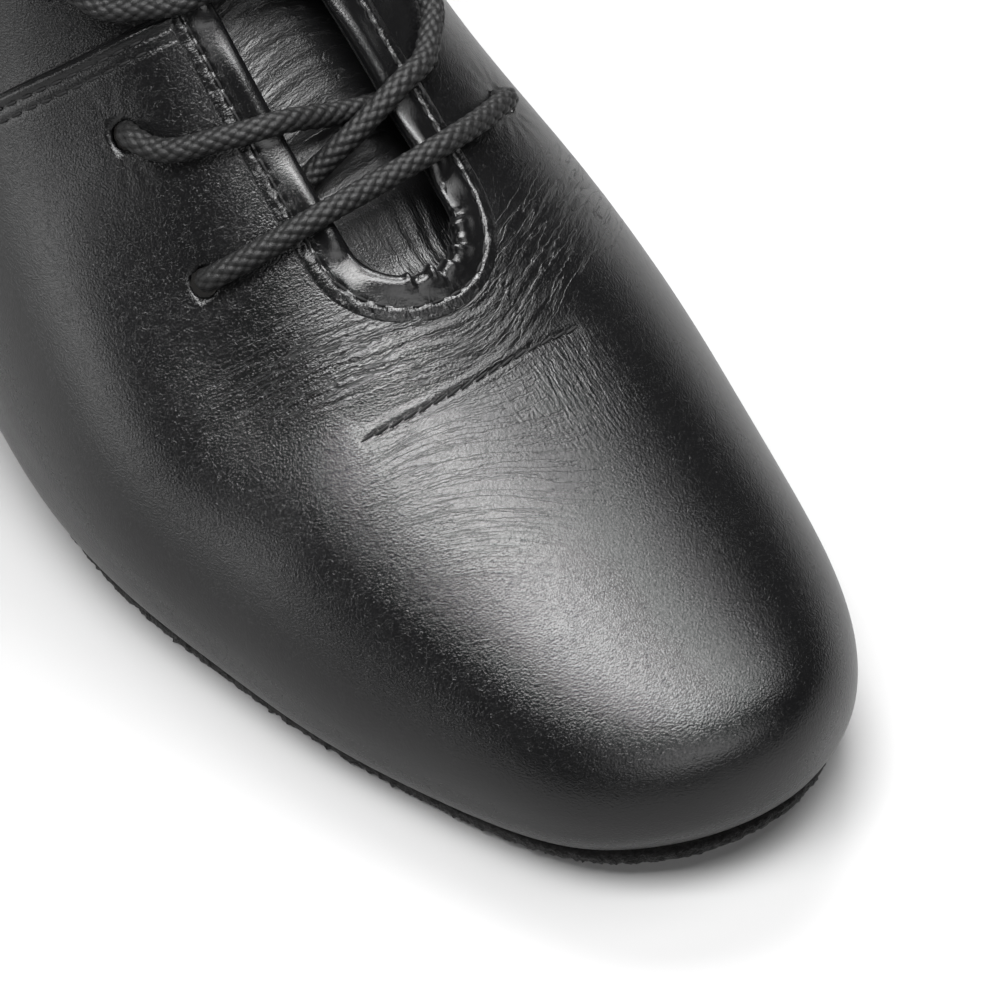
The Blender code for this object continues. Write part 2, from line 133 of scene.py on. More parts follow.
def smooth(edge0, edge1, value):
    """A soft step from 0 at edge0 to 1 at edge1."""
    share = np.clip((value - edge0) / (edge1 - edge0), 0, 1)
    return share * share * (3 - 2 * share)


def between(steps, value):
    """1 between two soft steps, and 0 outside them."""
    return smooth(*steps[0], value) * smooth(*steps[1], value)


def bump(offset, width):
    """A soft ridge, 1 high at offset 0."""
    return np.exp(-(offset / width) ** 2)


def sole_under(t):
    """Height of the sole's underside at t metres from the back of the heel."""
    share = np.asarray(t) / LENGTH
    toe = np.clip((share - SPRING_START) / (1 - SPRING_START), 0, None)
    return TOE_SPRING * toe ** 2 + HEEL_LIFT * smooth(ARCH_FRONT, SEAT_FRONT, share)


def sole_top(t):
    """Height of the sole's upper side at t."""
    return sole_under(t) + SOLE_THICK


def section(s):
    """The last's columns at s."""
    columns = {}
    for index, name in enumerate(COLUMNS):
        start = 0.0 if name in ROUND_AT_TOE else None
        columns[name] = spline(KNOTS, SECTIONS[:, index], s, start)
    return columns


def surface(s, angle):
    """Points of the last."""
    row = section(s)
    base_t = row["base_t"] * LENGTH
    top_t = row["top_t"] * LENGTH
    base_z = sole_top(base_t) + row["base_rise"] * INSTEP
    top_z = sole_top(top_t) + row["top_rise"] * INSTEP
    width = np.where(angle < 0, row["lateral"], row["medial"]) * BALL_WIDTH
    turn = math.pi / 2 - np.abs(angle)
    power = 2 / np.where(turn >= 0, row["crown"], row["under"])
    across = np.abs(np.cos(turn)) ** power
    up = np.abs(np.sin(turn)) ** power
    waist = row["waist"]
    share = np.where(turn >= 0, waist + (1 - waist) * up, waist * (1 - up))
    lean = row["ridge"] * np.clip(share - waist, 0, None) / (1 - waist)
    hollow = FLANK_HOLLOW * bump(angle - FLANK_ANGLE, FLANK_WIDTH) * between(FLANK_S, s)
    hollow = hollow - THROAT_RISE * bump(angle, RISE_WIDTH) * between(RISE_S, s)
    x = (row["centre"] + lean) * BALL_WIDTH + np.sign(angle) * width * across - MIDDLE_X
    x = x - hollow * np.sin(angle)
    t = base_t + (top_t - base_t) * share
    z = base_z + (top_z - base_z) * share - hollow * np.cos(angle)
    z = np.maximum(z, sole_top(t) + GAP)
    return np.stack((x, MIDDLE_T - t, z), axis=-1)


def slopes(s, angle):
    """How the last's points move along s and round the angle."""
    ds, da = 0.002, 0.01
    s = np.maximum(s, TOE_TIP)
    angle = np.clip(angle, da - math.pi, math.pi - da)
    along = (surface(s + ds, angle) - surface(s - ds, angle)) / (2 * ds)
    round_section = (surface(s, angle + da) - surface(s, angle - da)) / (2 * da)
    return along, round_section


def unit(vectors):
    """The vectors at length 1."""
    return vectors / np.linalg.norm(vectors, axis=-1, keepdims=True)


def normal(s, angle):
    """Outward unit normals of the last."""
    along, round_section = slopes(s, angle)
    return unit(np.cross(round_section, along))


def skin(s, angle, lift):
    """Points that stand `lift` outside the last."""
    lift = np.broadcast_to(lift, np.shape(s))
    return surface(s, angle) + normal(s, angle) * lift[..., None]


# The throat's U and the seam to the shaft, which starts beside the throat and leans back down the sides
THROAT_BOTTOM = 0.287
THROAT_HALF = 8.4 * MM
THROAT_SHIFT = -1.9 * MM
THROAT_ROUND = 0.027
THROAT_FADE = 0.06
THROAT_SPREAD = 0.25
SEAM = 0.4188
SEAM_LEAN = 0.172
SEAM_FADE = 0.22


def throat_angle(s, side):
    """The section angle of the throat's edge, laterally for side -1 and medially for side 1."""
    row = section(np.maximum(s, THROAT_BOTTOM))
    width = np.where(side < 0, row["lateral"], row["medial"]) * BALL_WIDTH
    return np.arcsin((THROAT_HALF + side * THROAT_SHIFT) / width)


def lay(across, station):
    """s and angle of a point of the leather.

    across is 0 on the ridge, 1 either way at the throat's edge and 2 under the foot. The stations' lines
    bow round the throat's bottom, and lean back down the sides near the seam.
    """
    side = np.sign(across)
    sweep = np.clip(np.abs(across), 0, 1) * math.pi / 2
    outer = np.clip(np.abs(across) - 1, 0, 1)
    bow = (1 - np.cos(sweep)) * bump(outer, THROAT_SPREAD) * bump(station - THROAT_BOTTOM, THROAT_FADE)
    lean = np.minimum(outer * (1 + outer), 1.2) * bump(station - SEAM, SEAM_FADE) * smooth(0, 0.1, station)
    s = np.minimum(station + THROAT_ROUND * bow + SEAM_LEAN * lean, 1)
    edge = throat_angle(s, side)
    angle = side * (edge * np.sin(sweep) + (math.pi - edge) * outer)
    return s, angle


def sheet_of(columns, rows):
    """A flat grid, with the column and row number of each of its points."""
    bm = bmesh.new()
    bmesh.ops.create_grid(bm, x_segments=columns, y_segments=rows, size=1)
    flat = np.array([vert.co for vert in bm.verts])
    column = np.rint((flat[:, 0] + 1) / 2 * columns).astype(int)
    row = np.rint((flat[:, 1] + 1) / 2 * rows).astype(int)
    return bm, column, row


def place(bm, points, **marks):
    """Moves the points of a grid, and notes named vectors on them for their material."""
    layers = [(bm.verts.layers.float_vector.new(name), values) for name, values in marks.items()]
    for index, vert in enumerate(bm.verts):
        vert.co = points[index]
        for layer, values in layers:
            vert[layer] = values[index]
    bm.verts.index_update()


def run_along(points):
    """The way along a line of points from its first to each of them."""
    return np.concatenate(([0], np.cumsum(np.linalg.norm(np.diff(points, axis=0), axis=1))))


def line_of(across, station, step=0.1 * MM):
    """A line on the leather as close, evenly spaced points, with s and angle at each."""
    s, angle = lay(across, station)
    run = run_along(surface(s, angle))
    even = np.arange(0, run[-1], step)
    return np.interp(even, run, s), np.interp(even, run, angle)


def along_line(line, points):
    """Distance of each point from a line's closest point, and that point's number."""
    tree = KDTree(len(line))
    for index, point in enumerate(line):
        tree.insert(point, index)
    tree.balance()
    found = [tree.find(point) for point in points]
    return np.array([hit[2] for hit in found]), np.array([hit[1] for hit in found])


def piece_of(bm, name, *materials):
    """The bmesh as a smooth object with its doubled points welded."""
    bmesh.ops.remove_doubles(bm, verts=bm.verts, dist=0.01 * MM)
    mesh = bpy.data.meshes.new(name)
    bm.to_mesh(mesh)
    bm.free()
    mesh.shade_smooth()
    piece = bpy.data.objects.new(name, mesh)
    bpy.context.collection.objects.link(piece)
    for material in materials:
        mesh.materials.append(material)
    return piece


def thicken(piece, thickness, inner_material=0):
    """Gives a skin its thickness inwards."""
    solidify = piece.modifiers.new("Thickness", "SOLIDIFY")
    solidify.thickness = thickness
    solidify.offset = -1
    solidify.material_offset = inner_material


class Value:
    """A socket whose arithmetic adds Math nodes to its material."""

    def __init__(self, tree, socket=None):
        self.tree = tree
        self.socket = socket

    def node(self, kind, settings, sockets, output=0):
        """Any node: its settings are set first, then the values or links of its sockets."""
        made = self.tree.nodes.new(kind)
        for name, setting in settings.items():
            setattr(made, name, setting)
        for name, value in sockets.items():
            if isinstance(value, Value):
                self.tree.links.new(value.socket, made.inputs[name])
            else:
                made.inputs[name].default_value = value
        return Value(self.tree, made.outputs[output])

    def math(self, operation, *others):
        return self.node("ShaderNodeMath", {"operation": operation}, dict(enumerate((self, *others))))

    def __add__(self, other):
        return self.math("ADD", other)

    def __sub__(self, other):
        return self.math("SUBTRACT", other)

    def __rsub__(self, other):
        return self.node("ShaderNodeMath", {"operation": "SUBTRACT"}, {0: other, 1: self})

    def __mul__(self, other):
        return self.math("MULTIPLY", other)

    __radd__ = __add__
    __rmul__ = __mul__

    def noise(self, scale, detail=2.0, roughness=0.5, output=0):
        """A soft noise from 0 to 1 over this vector, or three of them as output 1."""
        sockets = {"Vector": self, "Scale": scale, "Detail": detail, "Roughness": roughness}
        return self.node("ShaderNodeTexNoise", {}, sockets, output)

    def step(self, low, high):
        """A soft step of this value, from 0 at low to 1 at high."""
        sockets = {"Value": self, "From Min": low, "From Max": high}
        return self.node("ShaderNodeMapRange", {"interpolation_type": "SMOOTHSTEP"}, sockets)

    def stretched(self, *scale):
        """This vector with its parts scaled apart."""
        return self.node("ShaderNodeVectorMath", {"operation": "MULTIPLY"}, {0: self, 1: scale})

    def part(self, axis):
        """One part of this vector."""
        return self.node("ShaderNodeSeparateXYZ", {}, {0: self}, axis)

    def mix(self, colour, other):
        """A blend of two colours, with this as the second one's share."""
        sockets = {0: self, 6: (*colour, 1), 7: (*other, 1)}
        return self.node("ShaderNodeMix", {"data_type": "RGBA"}, sockets, 2)

    def lead(self, shader, socket):
        """Leads this to a shader's socket."""
        self.tree.links.new(self.socket, shader.inputs[socket])

    def raise_in(self, shader, distance=1.0):
        """Leads this height to a shader's normal, as a bump."""
        sockets = {"Strength": 1.0, "Distance": distance, "Height": self}
        self.node("ShaderNodeBump", {}, sockets).lead(shader, "Normal")


def material_of(name, **constants):
    """A new material, its shader with the given constants, and the place on the piece for its nodes."""
    material = bpy.data.materials.new(name)
    material.use_nodes = True
    shader = material.node_tree.nodes["Principled BSDF"]
    for socket, value in constants.items():
        shader.inputs[socket.replace("_", " ")].default_value = value
    return material, shader, Value(material.node_tree).node("ShaderNodeTexCoord", {}, {}, "Object")


# How wide the thin lines in the leather are, and how deep and how dull each of its patterns is
VEIN_WIDTH = 0.03
VEIN_DEPTH = 0.16
VEIN_DULL = 0.06
CRACK_WIDTH = 0.026
CRACK_DEPTH = 0.65
CRACK_DULL = 0.3
CRACK_SCALE = (60.0, 480.0, 0.0)
FOLD_DEPTH = 1.6
WRINKLE_DEPTH = 2.0
PATCH_SCALE = 90.0
PATCH_DULL = 0.06
RIM_DULL = 0.16


def leather(name, colour, worn, roughness, grain_size, grain_depth, crease_depth):
    """Black leather with a fine grain and scattered hairline veins, which are duller than the rest.

    Where it is marked as creased, the first mark adds cracks and fine folds along the creases, the second
    wrinkles it lengthwise, and the third only cracks it finely.
    """
    material, shader, at = material_of(name, Specular_IOR_Level=0.27)
    run = at.node("ShaderNodeAttribute", {"attribute_name": "run"}, {}, "Vector")
    creased = at.node("ShaderNodeAttribute", {"attribute_name": "creased"}, {}, "Vector")
    across, along, cracked = creased.part(0), creased.part(1), creased.part(2)
    glancing = at.node("ShaderNodeLayerWeight", {}, {"Blend": 0.5}, "Facing")
    wander = at.noise(0.4 / grain_size, output=1)
    swept = at.node("ShaderNodeVectorMath", {"operation": "MULTIPLY_ADD"},
                    {0: wander, 1: (1.5 * grain_size,) * 3, 2: run})
    fine = at.noise(1.8 / grain_size, 2.0, 0.6)
    veins = at.stretched(0.45, 1.0, 1.0).noise(0.6 / grain_size, 1.5, 0.6)
    veins = 1 - (veins - 0.5).math("ABSOLUTE").step(0.0, VEIN_WIDTH)
    veins = veins * at.noise(0.5 / grain_size, 1.0).step(0.40, 0.62)
    rows = swept.stretched(0.14 / grain_size, 0.93 / grain_size, 0.0).noise(1.0, 2.0, 0.6)
    wrinkles = swept.stretched(1.2 / grain_size, 0.2 / grain_size, 0.0).noise(1.0, 2.0, 0.6)
    cracks = swept.stretched(*CRACK_SCALE).noise(1.0, 2.5, 0.55)
    cracks = (cracks - 0.5).math("ABSOLUTE").step(0.0, CRACK_WIDTH)
    patchy = at.noise(PATCH_SCALE, 3.0)
    worked = across + cracked
    folds = rows * across * FOLD_DEPTH + cracks * worked * CRACK_DEPTH + wrinkles * along * WRINKLE_DEPTH
    grain = (fine - veins * VEIN_DEPTH) * grain_depth
    (grain + folds * crease_depth).raise_in(shader)
    patchy.mix(colour, worn).lead(shader, "Base Color")
    dull = veins * VEIN_DULL + (1 - cracks) * worked * CRACK_DULL + glancing.step(0.3, 0.85) * RIM_DULL
    (roughness + (patchy - 0.5) * PATCH_DULL + dull).lead(shader, "Roughness")
    return material


vamp_leather = leather("vamp_leather", (0.0013, 0.0013, 0.0014), (0.0022, 0.0022, 0.0023), 0.17,
                       0.55 * MM, 0.085 * MM, 0.11 * MM)
lining_leather = leather("lining_leather", (0.02, 0.0187, 0.0173), (0.03, 0.028, 0.026), 0.75,
                         0.5 * MM, 0.03 * MM, 0.0)

VAMP_THICK = 1.3 * MM
RUN = 372 * MM
GIRTH = 40 * MM
FLEX_LEAN = 0.055
FLEX_MIDDLE = 0.03
FLEX_ROUND = 0.1

# How the fine folds run: they lean back laterally, more so towards the toe, and medially behind the toes
FOLD_ROUND = 0.15
FOLD_LEAN = 0.05
FOLD_FAN = 2
FOLD_MEDIAL_LEAN = 0.07
FOLD_MEDIAL_S = (0.19, 0.27)

# Where the leather is folded, finely cracked and wrinkled lengthwise: soft steps of s and of the angle
FOLDED_S = ((0.236, 0.256), (0.300, 0.272))
FOLDED_ANGLE = ((-1.1, -0.35), (1.3, 0.6))
CRACKED = 0.4
CRACKED_S = ((0.160, 0.195), (0.262, 0.245))
CRACKED_LATERAL = (-1.0, -0.35)
CRACKED_MEDIAL = (0.35, 0.0)
CRACKED_BEHIND_DART = 0.25
WRINKLED_S = ((0.185, 0.225), (0.256, 0.242))
WRINKLED_ANGLE = 0.2
WRINKLED_HALF = 0.24

# The main creases where the boot bends: each one's s on the ridge, the angles where it starts and ends,
# and its depth and half width in millimetres
CREASES = (
    (0.2500, -0.75, 0.50, 0.07, 0.45),
    (0.2536, -0.80, 0.62, 0.10, 0.50),
    (0.2571, -0.70, 0.75, 0.08, 0.45),
    (0.2606, -0.62, 0.95, 0.12, 0.50),
    (0.2643, -0.50, 1.00, 0.12, 0.50),
    (0.2681, -0.42, 1.05, 0.15, 0.55),
    (0.2724, 0.10, 1.10, 0.16, 0.60),
    (0.2768, 0.16, 1.00, 0.14, 0.55),
)

# The dart over the toes, sewn from one angle to the other
DART_S = 0.246
DART_BEND = 0.0345
DART_FROM = -0.53
DART_TO = 0.34
DART_ENDS = (0.02, 0.05)

# Profiles as rows of offset, height and half width in millimetres: across the dart, out from the middle of
# an eyelet, and in from a folded edge, whose grooves hold stitches
DART_PROFILE = ((0.7, 0.16, 0.4), (-0.7, 0.06, 0.4), (0.0, -0.22, 4.0), (0.0, -0.36, 0.26))
EYELET_PROFILE = ((0.0, -0.5, 3.0), (2.7, 0.16, 0.5))
EYELET_PUCKERS = 13
EYELET_PUCKER_PROFILE = ((5.0, 0.04, 2.6),)
EDGE_PROFILE = ((0.9, 0.2, 0.6),)
EDGE_DROP = 0.55
EDGE_DROP_WIDTH = 0.7
GROOVE_DEPTH = 0.12
GROOVE_WIDTH = 0.4
SLACK = 0.045 * MM

EYELET_ANGLE = 0.65
EYELET_FIRST = 0.346
EYELET_PITCH = 23.5 * MM
EYELET_PAIRS = 6
EYELET_RADIUS = 2.1 * MM
FLOOR_OPEN_FRONT = 0.90
FLOOR_OPEN_BACK = 0.09
FLOOR_MARGIN = 0.90


def eyelet_stations():
    """The s of each eyelet pair, a pitch apart along the facing."""
    s = np.linspace(EYELET_FIRST, 1, 560)
    run = run_along(surface(s, np.full(s.shape, EYELET_ANGLE)))
    return np.interp(np.arange(EYELET_PAIRS) * EYELET_PITCH, run, s)


EYELETS = [(station, side * EYELET_ANGLE) for station in eyelet_stations() for side in (-1, 1)]


def flex_of(s, angle):
    """Where a point lies among the creases: the s at which its own crease would cross the ridge."""
    return s - FLEX_LEAN * (np.hypot(angle - FLEX_MIDDLE, FLEX_ROUND) - FLEX_ROUND)


def profile_at(profile, off):
    """The height of a profile at an offset, from its rows of offset, height and half width."""
    return sum(height * bump(off - at, width) for at, height, width in profile)


def crease_relief(s, angle):
    """Soft troughs with raised shoulders."""
    relief = np.zeros(s.shape)
    for number, (at, start, end, depth, width) in enumerate(CREASES):
        wander = 0.35 * np.sin(9 * angle + 2.1 * number) + 0.2 * np.sin(23 * angle + 1.3 * number)
        off = (flex_of(s, angle) - at) * RUN / MM + wander
        shape = 0.45 * bump(off - 1.7 * width, width) + 0.45 * bump(off + 1.7 * width, width)
        fade = smooth(start, start + 0.2, angle) * smooth(end, end - 0.3, angle)
        relief += depth * MM * fade * (shape - bump(off, width))
    return relief


def dart_relief(s, angle):
    """A sewn tuck: a narrow groove with a raised lip towards the throat."""
    off = (s - DART_S - DART_BEND * np.maximum(-angle, 0) ** 2) * RUN / MM
    out, in_by = DART_ENDS
    fade = smooth(DART_FROM - out, DART_FROM + in_by, angle) * smooth(DART_TO + out, DART_TO - in_by, angle)
    return fade * MM * profile_at(DART_PROFILE, off)


def eyelet_relief(points):
    """The leather dips to each eyelet, rises at its rim and puckers round it."""
    relief = np.zeros(len(points))
    for station, angle in EYELETS:
        s_here, angle_here = np.array([station]), np.array([angle])
        centre = surface(s_here, angle_here)[0]
        along, _ = slopes(s_here, angle_here)
        forward = unit(along[0])
        sideways = np.cross(normal(s_here, angle_here)[0], forward)
        off = points - centre
        r = np.linalg.norm(off, axis=1) / MM
        turn = np.arctan2(off @ sideways, off @ forward)
        pucker = np.sin(EYELET_PUCKERS * turn + 1.0) * profile_at(EYELET_PUCKER_PROFILE, r)
        relief += MM * (pucker + profile_at(EYELET_PROFILE, r))
    return relief


def slack_relief(points):
    """Slow unevenness of leather that was pulled by hand."""
    x, y, z = (points / MM).T
    waves = np.sin(x / 6.1 + y / 9.3) + np.sin(y / 5.2 - z / 7.7 + 1.0) + np.sin(x / 11.0 - y / 13.0 + 2.0)
    return SLACK * waves


def edge_relief(distance, grooves):
    """A folded edge with stitched grooves beside it."""
    d = distance / MM
    relief = profile_at(EDGE_PROFILE, d) - EDGE_DROP * (1 - smooth(0, EDGE_DROP_WIDTH, d))
    for groove in grooves:
        relief = relief - GROOVE_DEPTH * bump(d - groove, GROOVE_WIDTH)
    return relief * MM


def punch(bm, hole_radius):
    """Punches the eyelets that lie on this panel."""
    for station, angle in EYELETS:
        s_here, angle_here = np.array([station]), np.array([angle])
        centre = Vector(surface(s_here, angle_here)[0])
        outward = Vector(normal(s_here, angle_here)[0])
        inside = [vert for vert in bm.verts if (vert.co - centre).length < 0.85 * hole_radius]
        bmesh.ops.delete(bm, geom=inside, context="VERTS")
        for vert in bm.verts:
            off = vert.co - centre
            if off.length < 2 * hole_radius and vert.is_boundary:
                height = off.dot(outward)
                flat = (off - outward * height).normalized()
                vert.co = centre + flat * hole_radius + outward * height


def cut_open(bm, across, s, throat_station, station):
    """Takes away the throat, and the floor between the lasting margins of toe and heel."""
    base = section(s)["base_t"]
    open_faces = []
    for face in bm.faces:
        corners = [vert.index for vert in face.verts]
        out = np.abs(across[corners]).mean()
        in_throat = out < 1 and station[corners].min() > throat_station - 1e-6
        in_floor = out > 1 + FLOOR_MARGIN and FLOOR_OPEN_BACK < base[corners].mean() < FLOOR_OPEN_FRONT
        if in_throat or in_floor:
            open_faces.append(face)
    bmesh.ops.delete(bm, geom=open_faces, context="FACES")


VAMP_OUTER = np.concatenate((np.linspace(0, 0.10, 13), np.linspace(0.10, 0.22, 25)[1:],
                             np.linspace(0.22, FLOOR_MARGIN, 52)[1:], np.linspace(FLOOR_MARGIN, 1, 6)[1:]))
VAMP_ACROSS = np.concatenate((-1 - VAMP_OUTER[::-1], np.linspace(-1, 1, 29)[1:-1], 1 + VAMP_OUTER))
SEAM_STITCHES = (2.0, 3.75)
PLAIN_UNDER = (2.4, 1.7)
PLAIN_TOE = (0, 0.03)
VAMP_STATIONS = np.concatenate((
    0.218 * np.linspace(0, 1, 66) ** 1.2, np.linspace(0.218, THROAT_BOTTOM, 68)[1:],
    np.linspace(THROAT_BOTTOM, 0.300, 14)[1:], np.linspace(0.300, 0.335, 13)[1:],
    np.linspace(0.335, 0.358, 20)[1:], np.linspace(0.358, 0.398, 14)[1:], np.linspace(0.398, SEAM, 28)[1:],
))
bm, column, row = sheet_of(len(VAMP_ACROSS) - 1, len(VAMP_STATIONS) - 1)
across, station = VAMP_ACROSS[column], VAMP_STATIONS[row]
s, angle = lay(across, station)
base = surface(s, angle)
seam_line = surface(*line_of(np.linspace(-2, 2, 2000), np.full(2000, SEAM)))
seam_distance, _ = along_line(seam_line, base)
relief = crease_relief(s, angle) + dart_relief(s, angle) + eyelet_relief(base) + slack_relief(base)
relief += edge_relief(seam_distance, SEAM_STITCHES)
relief *= smooth(*PLAIN_UNDER, np.abs(angle)) * smooth(*PLAIN_TOE, s)
flex = flex_of(s, angle)
inner = (np.hypot(angle, FOLD_ROUND) + angle) / 2
outer = inner - angle
drift = s - outer * np.maximum(FOLD_LEAN + FOLD_FAN * (DART_S - s), FOLD_LEAN)
drift -= FOLD_MEDIAL_LEAN * inner * smooth(*FOLD_MEDIAL_S, s)
folded = between(FOLDED_S, flex) * between(FOLDED_ANGLE, angle)
cracked = CRACKED * between(CRACKED_S, s) * smooth(*CRACKED_LATERAL, angle)
cracked *= smooth(*CRACKED_MEDIAL, angle + CRACKED_BEHIND_DART * (s > DART_S))
wrinkled = between(WRINKLED_S, s) * bump(angle - WRINKLED_ANGLE, WRINKLED_HALF)
run = np.stack((angle * GIRTH, drift * RUN, np.zeros(s.shape)), axis=-1)
creased = np.stack((folded, wrinkled, cracked), axis=-1)
place(bm, skin(s, angle, relief), run=run, creased=creased)
cut_open(bm, across, s, THROAT_BOTTOM, station)
punch(bm, EYELET_RADIUS)
vamp = piece_of(bm, "vamp", vamp_leather, lining_leather)
thicken(vamp, VAMP_THICK, 1)
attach(vamp, "root")
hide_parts("upper")

# Throat binding
# A strip of thinner and smoother leather, folded over the throat's edge. A row of stitches holds it and
# puckers its outer strip, and its fold is gathered round the bottom of the U.
BINDING_THICK = 0.35 * MM
BINDING_END = SEAM + 0.005
BINDING_STITCHES = 3.95
BINDING_STEP = 0.35

# The strip's cross-section from the inside over the fold to its outer edge: the distance from the throat's
# edge and the height over the vamp, in millimetres
BINDING_PROFILE = np.array((
    (3.2, -2.0), (2.0, -2.05), (0.9, -2.0), (0.2, -1.85), (-0.35, -1.5), (-0.6, -1.0), (-0.65, -0.5),
    (-0.5, -0.05), (-0.2, 0.24), (0.2, 0.40), (0.7, 0.46), (1.2, 0.46), (1.8, 0.43), (2.4, 0.40),
    (2.8, 0.38), (3.15, 0.36), (3.45, 0.32), (3.7, 0.24), (3.9, 0.18), (4.1, 0.22), (4.3, 0.32),
    (4.5, 0.37), (4.8, 0.36), (5.1, 0.32), (5.4, 0.26), (5.7, 0.19), (5.95, 0.12), (6.15, 0.04),
    (6.3, -0.1), (6.4, -0.3),
))

# The roll of its fold, the puckers of its outer strip and how the stitches pull it down, in millimetres
ROLL_HEIGHT = 0.8
ROLL_MIDDLE = 0.7
ROLL_HALF = 1.5
PUCKER_MIDDLE = 5.1
PUCKER_DEPTH = 0.20
PUCKER_STEPS = (0.30, 0.7)
PUCKER_START = (4.1, 4.6)
PULL_DEPTH = 0.12
PULL_PITCH = 2.6
PULL_WIDTH = 0.5

# The gathers round the bottom of the U: each one's place along the edge from its lowest point, laterally
# negative, its height and its half width, in millimetres
GATHERS = (
    (-5.6, 0.45, 0.50), (-2.2, 0.95, 0.65), (0.8, 0.45, 0.45), (3.4, 0.85, 0.50), (7.2, 0.70, 0.85),
)

# Where the cord presses on the binding: the places along the edge, and the depth, in millimetres
PRESSED = (-52, -33, -14.5, 13.5, 27, 46)
PRESS_DEPTH = 0.42


def beside(s, angle, sideways, distance, strides=4):
    """s and angle of the points at a distance on the last, in the sideways directions."""
    for _ in range(strides):
        along, round_section = slopes(s, angle)
        aa = (along * along).sum(-1)
        ar = (along * round_section).sum(-1)
        rr = (round_section * round_section).sum(-1)
        a = (along * sideways).sum(-1)
        r = (round_section * sideways).sum(-1)
        share = distance / strides / (aa * rr - ar * ar)
        s = s + share * (a * rr - r * ar)
        angle = angle + share * (r * aa - a * ar)
    return s, angle


def throat_path(top):
    """across and station along the throat's edge: down the lateral side, round the U and up again."""
    down = np.linspace(top, THROAT_BOTTOM, 300)
    turn = np.linspace(-1, 1, 200)
    across = np.concatenate((np.full(300, -1.0), turn[1:-1], np.full(300, 1.0)))
    return across, np.concatenate((down, np.full(198, THROAT_BOTTOM), down[::-1]))


def away_from_throat(s, angle):
    """Directions on the last that lead away from the throat, along its edge."""
    forward = unit(np.gradient(surface(s, angle), axis=0))
    return unit(np.cross(forward, normal(s, angle)))


def gather_relief(e, d):
    """Folds and pinches of the binding, where e runs along the edge and d away from it, in millimetres."""
    relief = np.zeros(e.shape)
    for at, height, width in GATHERS:
        off = e - at - 0.25 * np.maximum(d, 0)
        relief += height * (bump(off, width) - 0.7 * bump(off - 1.9 * width, 0.8 * width))
    return relief * smooth(2.6, 0.2, d)


def pressed(e):
    """1 where the cord presses the binding flat, fading slowly towards the toe and soon behind."""
    share = np.zeros(e.shape)
    for at in PRESSED:
        behind = np.abs(e) - abs(at)
        near = bump(behind, np.where(behind < 0, 6.0, 2.0)) * (np.sign(e) == np.sign(at))
        share = np.maximum(share, near)
    return share


def pucker_relief(e, d):
    """Seeded uneven puckers of the strip between the binding's stitches and its outer edge."""
    random = np.random.default_rng(5)
    relief = np.zeros(e.shape)
    at = e.min()
    while at < e.max():
        at += random.uniform(*PUCKER_STEPS)
        middle, lean = PUCKER_MIDDLE + random.uniform(-0.6, 0.6), random.uniform(-0.8, 0.8)
        shape = bump(e - at - lean * (d - middle), random.uniform(0.22, 0.4))
        relief += random.uniform(-1, 1) * shape * bump(d - middle, random.uniform(0.3, 0.6))
    return PUCKER_DEPTH * relief * smooth(*PUCKER_START, d)


edge_s, edge_angle = line_of(*throat_path(BINDING_END), step=BINDING_STEP * MM)
edge_run = np.arange(len(edge_s)) * BINDING_STEP
edge_run = edge_run - edge_run[edge_s.argmin()]
away = away_from_throat(edge_s, edge_angle)
bm, column, row = sheet_of(len(BINDING_PROFILE) - 1, len(edge_s) - 1)
d, lift = BINDING_PROFILE[column].T
e = edge_run[row]
folds = gather_relief(e, d)
pucker = pucker_relief(e, d)
pull = -PULL_DEPTH * np.cos(2 * math.pi * e / PULL_PITCH) * bump(d - BINDING_STITCHES, PULL_WIDTH)
inward = 0.9 * np.clip(folds, -0.4, 1) * smooth(1.5, 0, d)
s, angle = beside(edge_s[row], edge_angle[row], away[row], (d - inward) * MM)
run = np.stack((e, d, np.zeros(e.shape)), axis=-1) * MM
wrinkled = 0.05 + 0.25 * smooth(14, 5, np.abs(e)) + 1.2 * smooth(4.1, 4.5, d)
creased = np.stack((np.zeros(e.shape), wrinkled, np.zeros(e.shape)), axis=-1)
roll = ROLL_HEIGHT * bump(d - ROLL_MIDDLE, ROLL_HALF) * (lift > -0.1) * (1 - pressed(e))
roll = roll - PRESS_DEPTH * smooth(3.4, 0.2, d) * pressed(e) * smooth(9, 13, np.abs(e))
place(bm, skin(s, angle, (lift + folds + pucker + pull + roll) * MM), run=run, creased=creased)
binding_leather = leather("binding_leather", (0.0013, 0.0013, 0.0014), (0.0022, 0.0022, 0.0023), 0.20,
                          0.42 * MM, 0.045 * MM, 0.08 * MM)
binding = piece_of(bm, "throat_binding", binding_leather)
thicken(binding, BINDING_THICK)
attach(binding, "root")
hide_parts("upper")

# Shaft
# The back of the upper: both quarters and the ankle in one piece of the same leather, closed by a seam at
# the back, with a turned edge at collar and facings. It lies under the vamp along the slanting seam.
SHAFT_THICK = 1.2 * MM
SHAFT_OVERLAP = 0.018
SHAFT_SUNK = 1.45
SHAFT_OUTER = np.concatenate((np.linspace(0, 0.12, 15), np.linspace(0.12, FLOOR_MARGIN, 52)[1:],
                              np.linspace(FLOOR_MARGIN, 1, 9)[1:]))
SHAFT_ACROSS = np.concatenate((1 + SHAFT_OUTER, -1 - SHAFT_OUTER[-2::-1]))
SHAFT_ROWS = 150
FACING_STITCHES = 4.2
COLLAR_STITCHES = 4.0
BACK_STITCHES = 2.2
BACK_S = 0.78
SHAFT_EASE = 26

# Where its rows lie closer, as rows of station, closeness and half width, the profile across the back seam,
# and the folds at the ankle
SHAFT_CLOSER = ((0.75, 1.8, 0.07), (1.0, 2.0, 0.02), (SEAM, 1.0, 0.03))
BACK_PROFILE = ((0.8, 0.35, 0.6), (0.0, -0.5, 0.35))
ANKLE_S = 0.60
ANKLE_DEPTH = 0.55 * MM

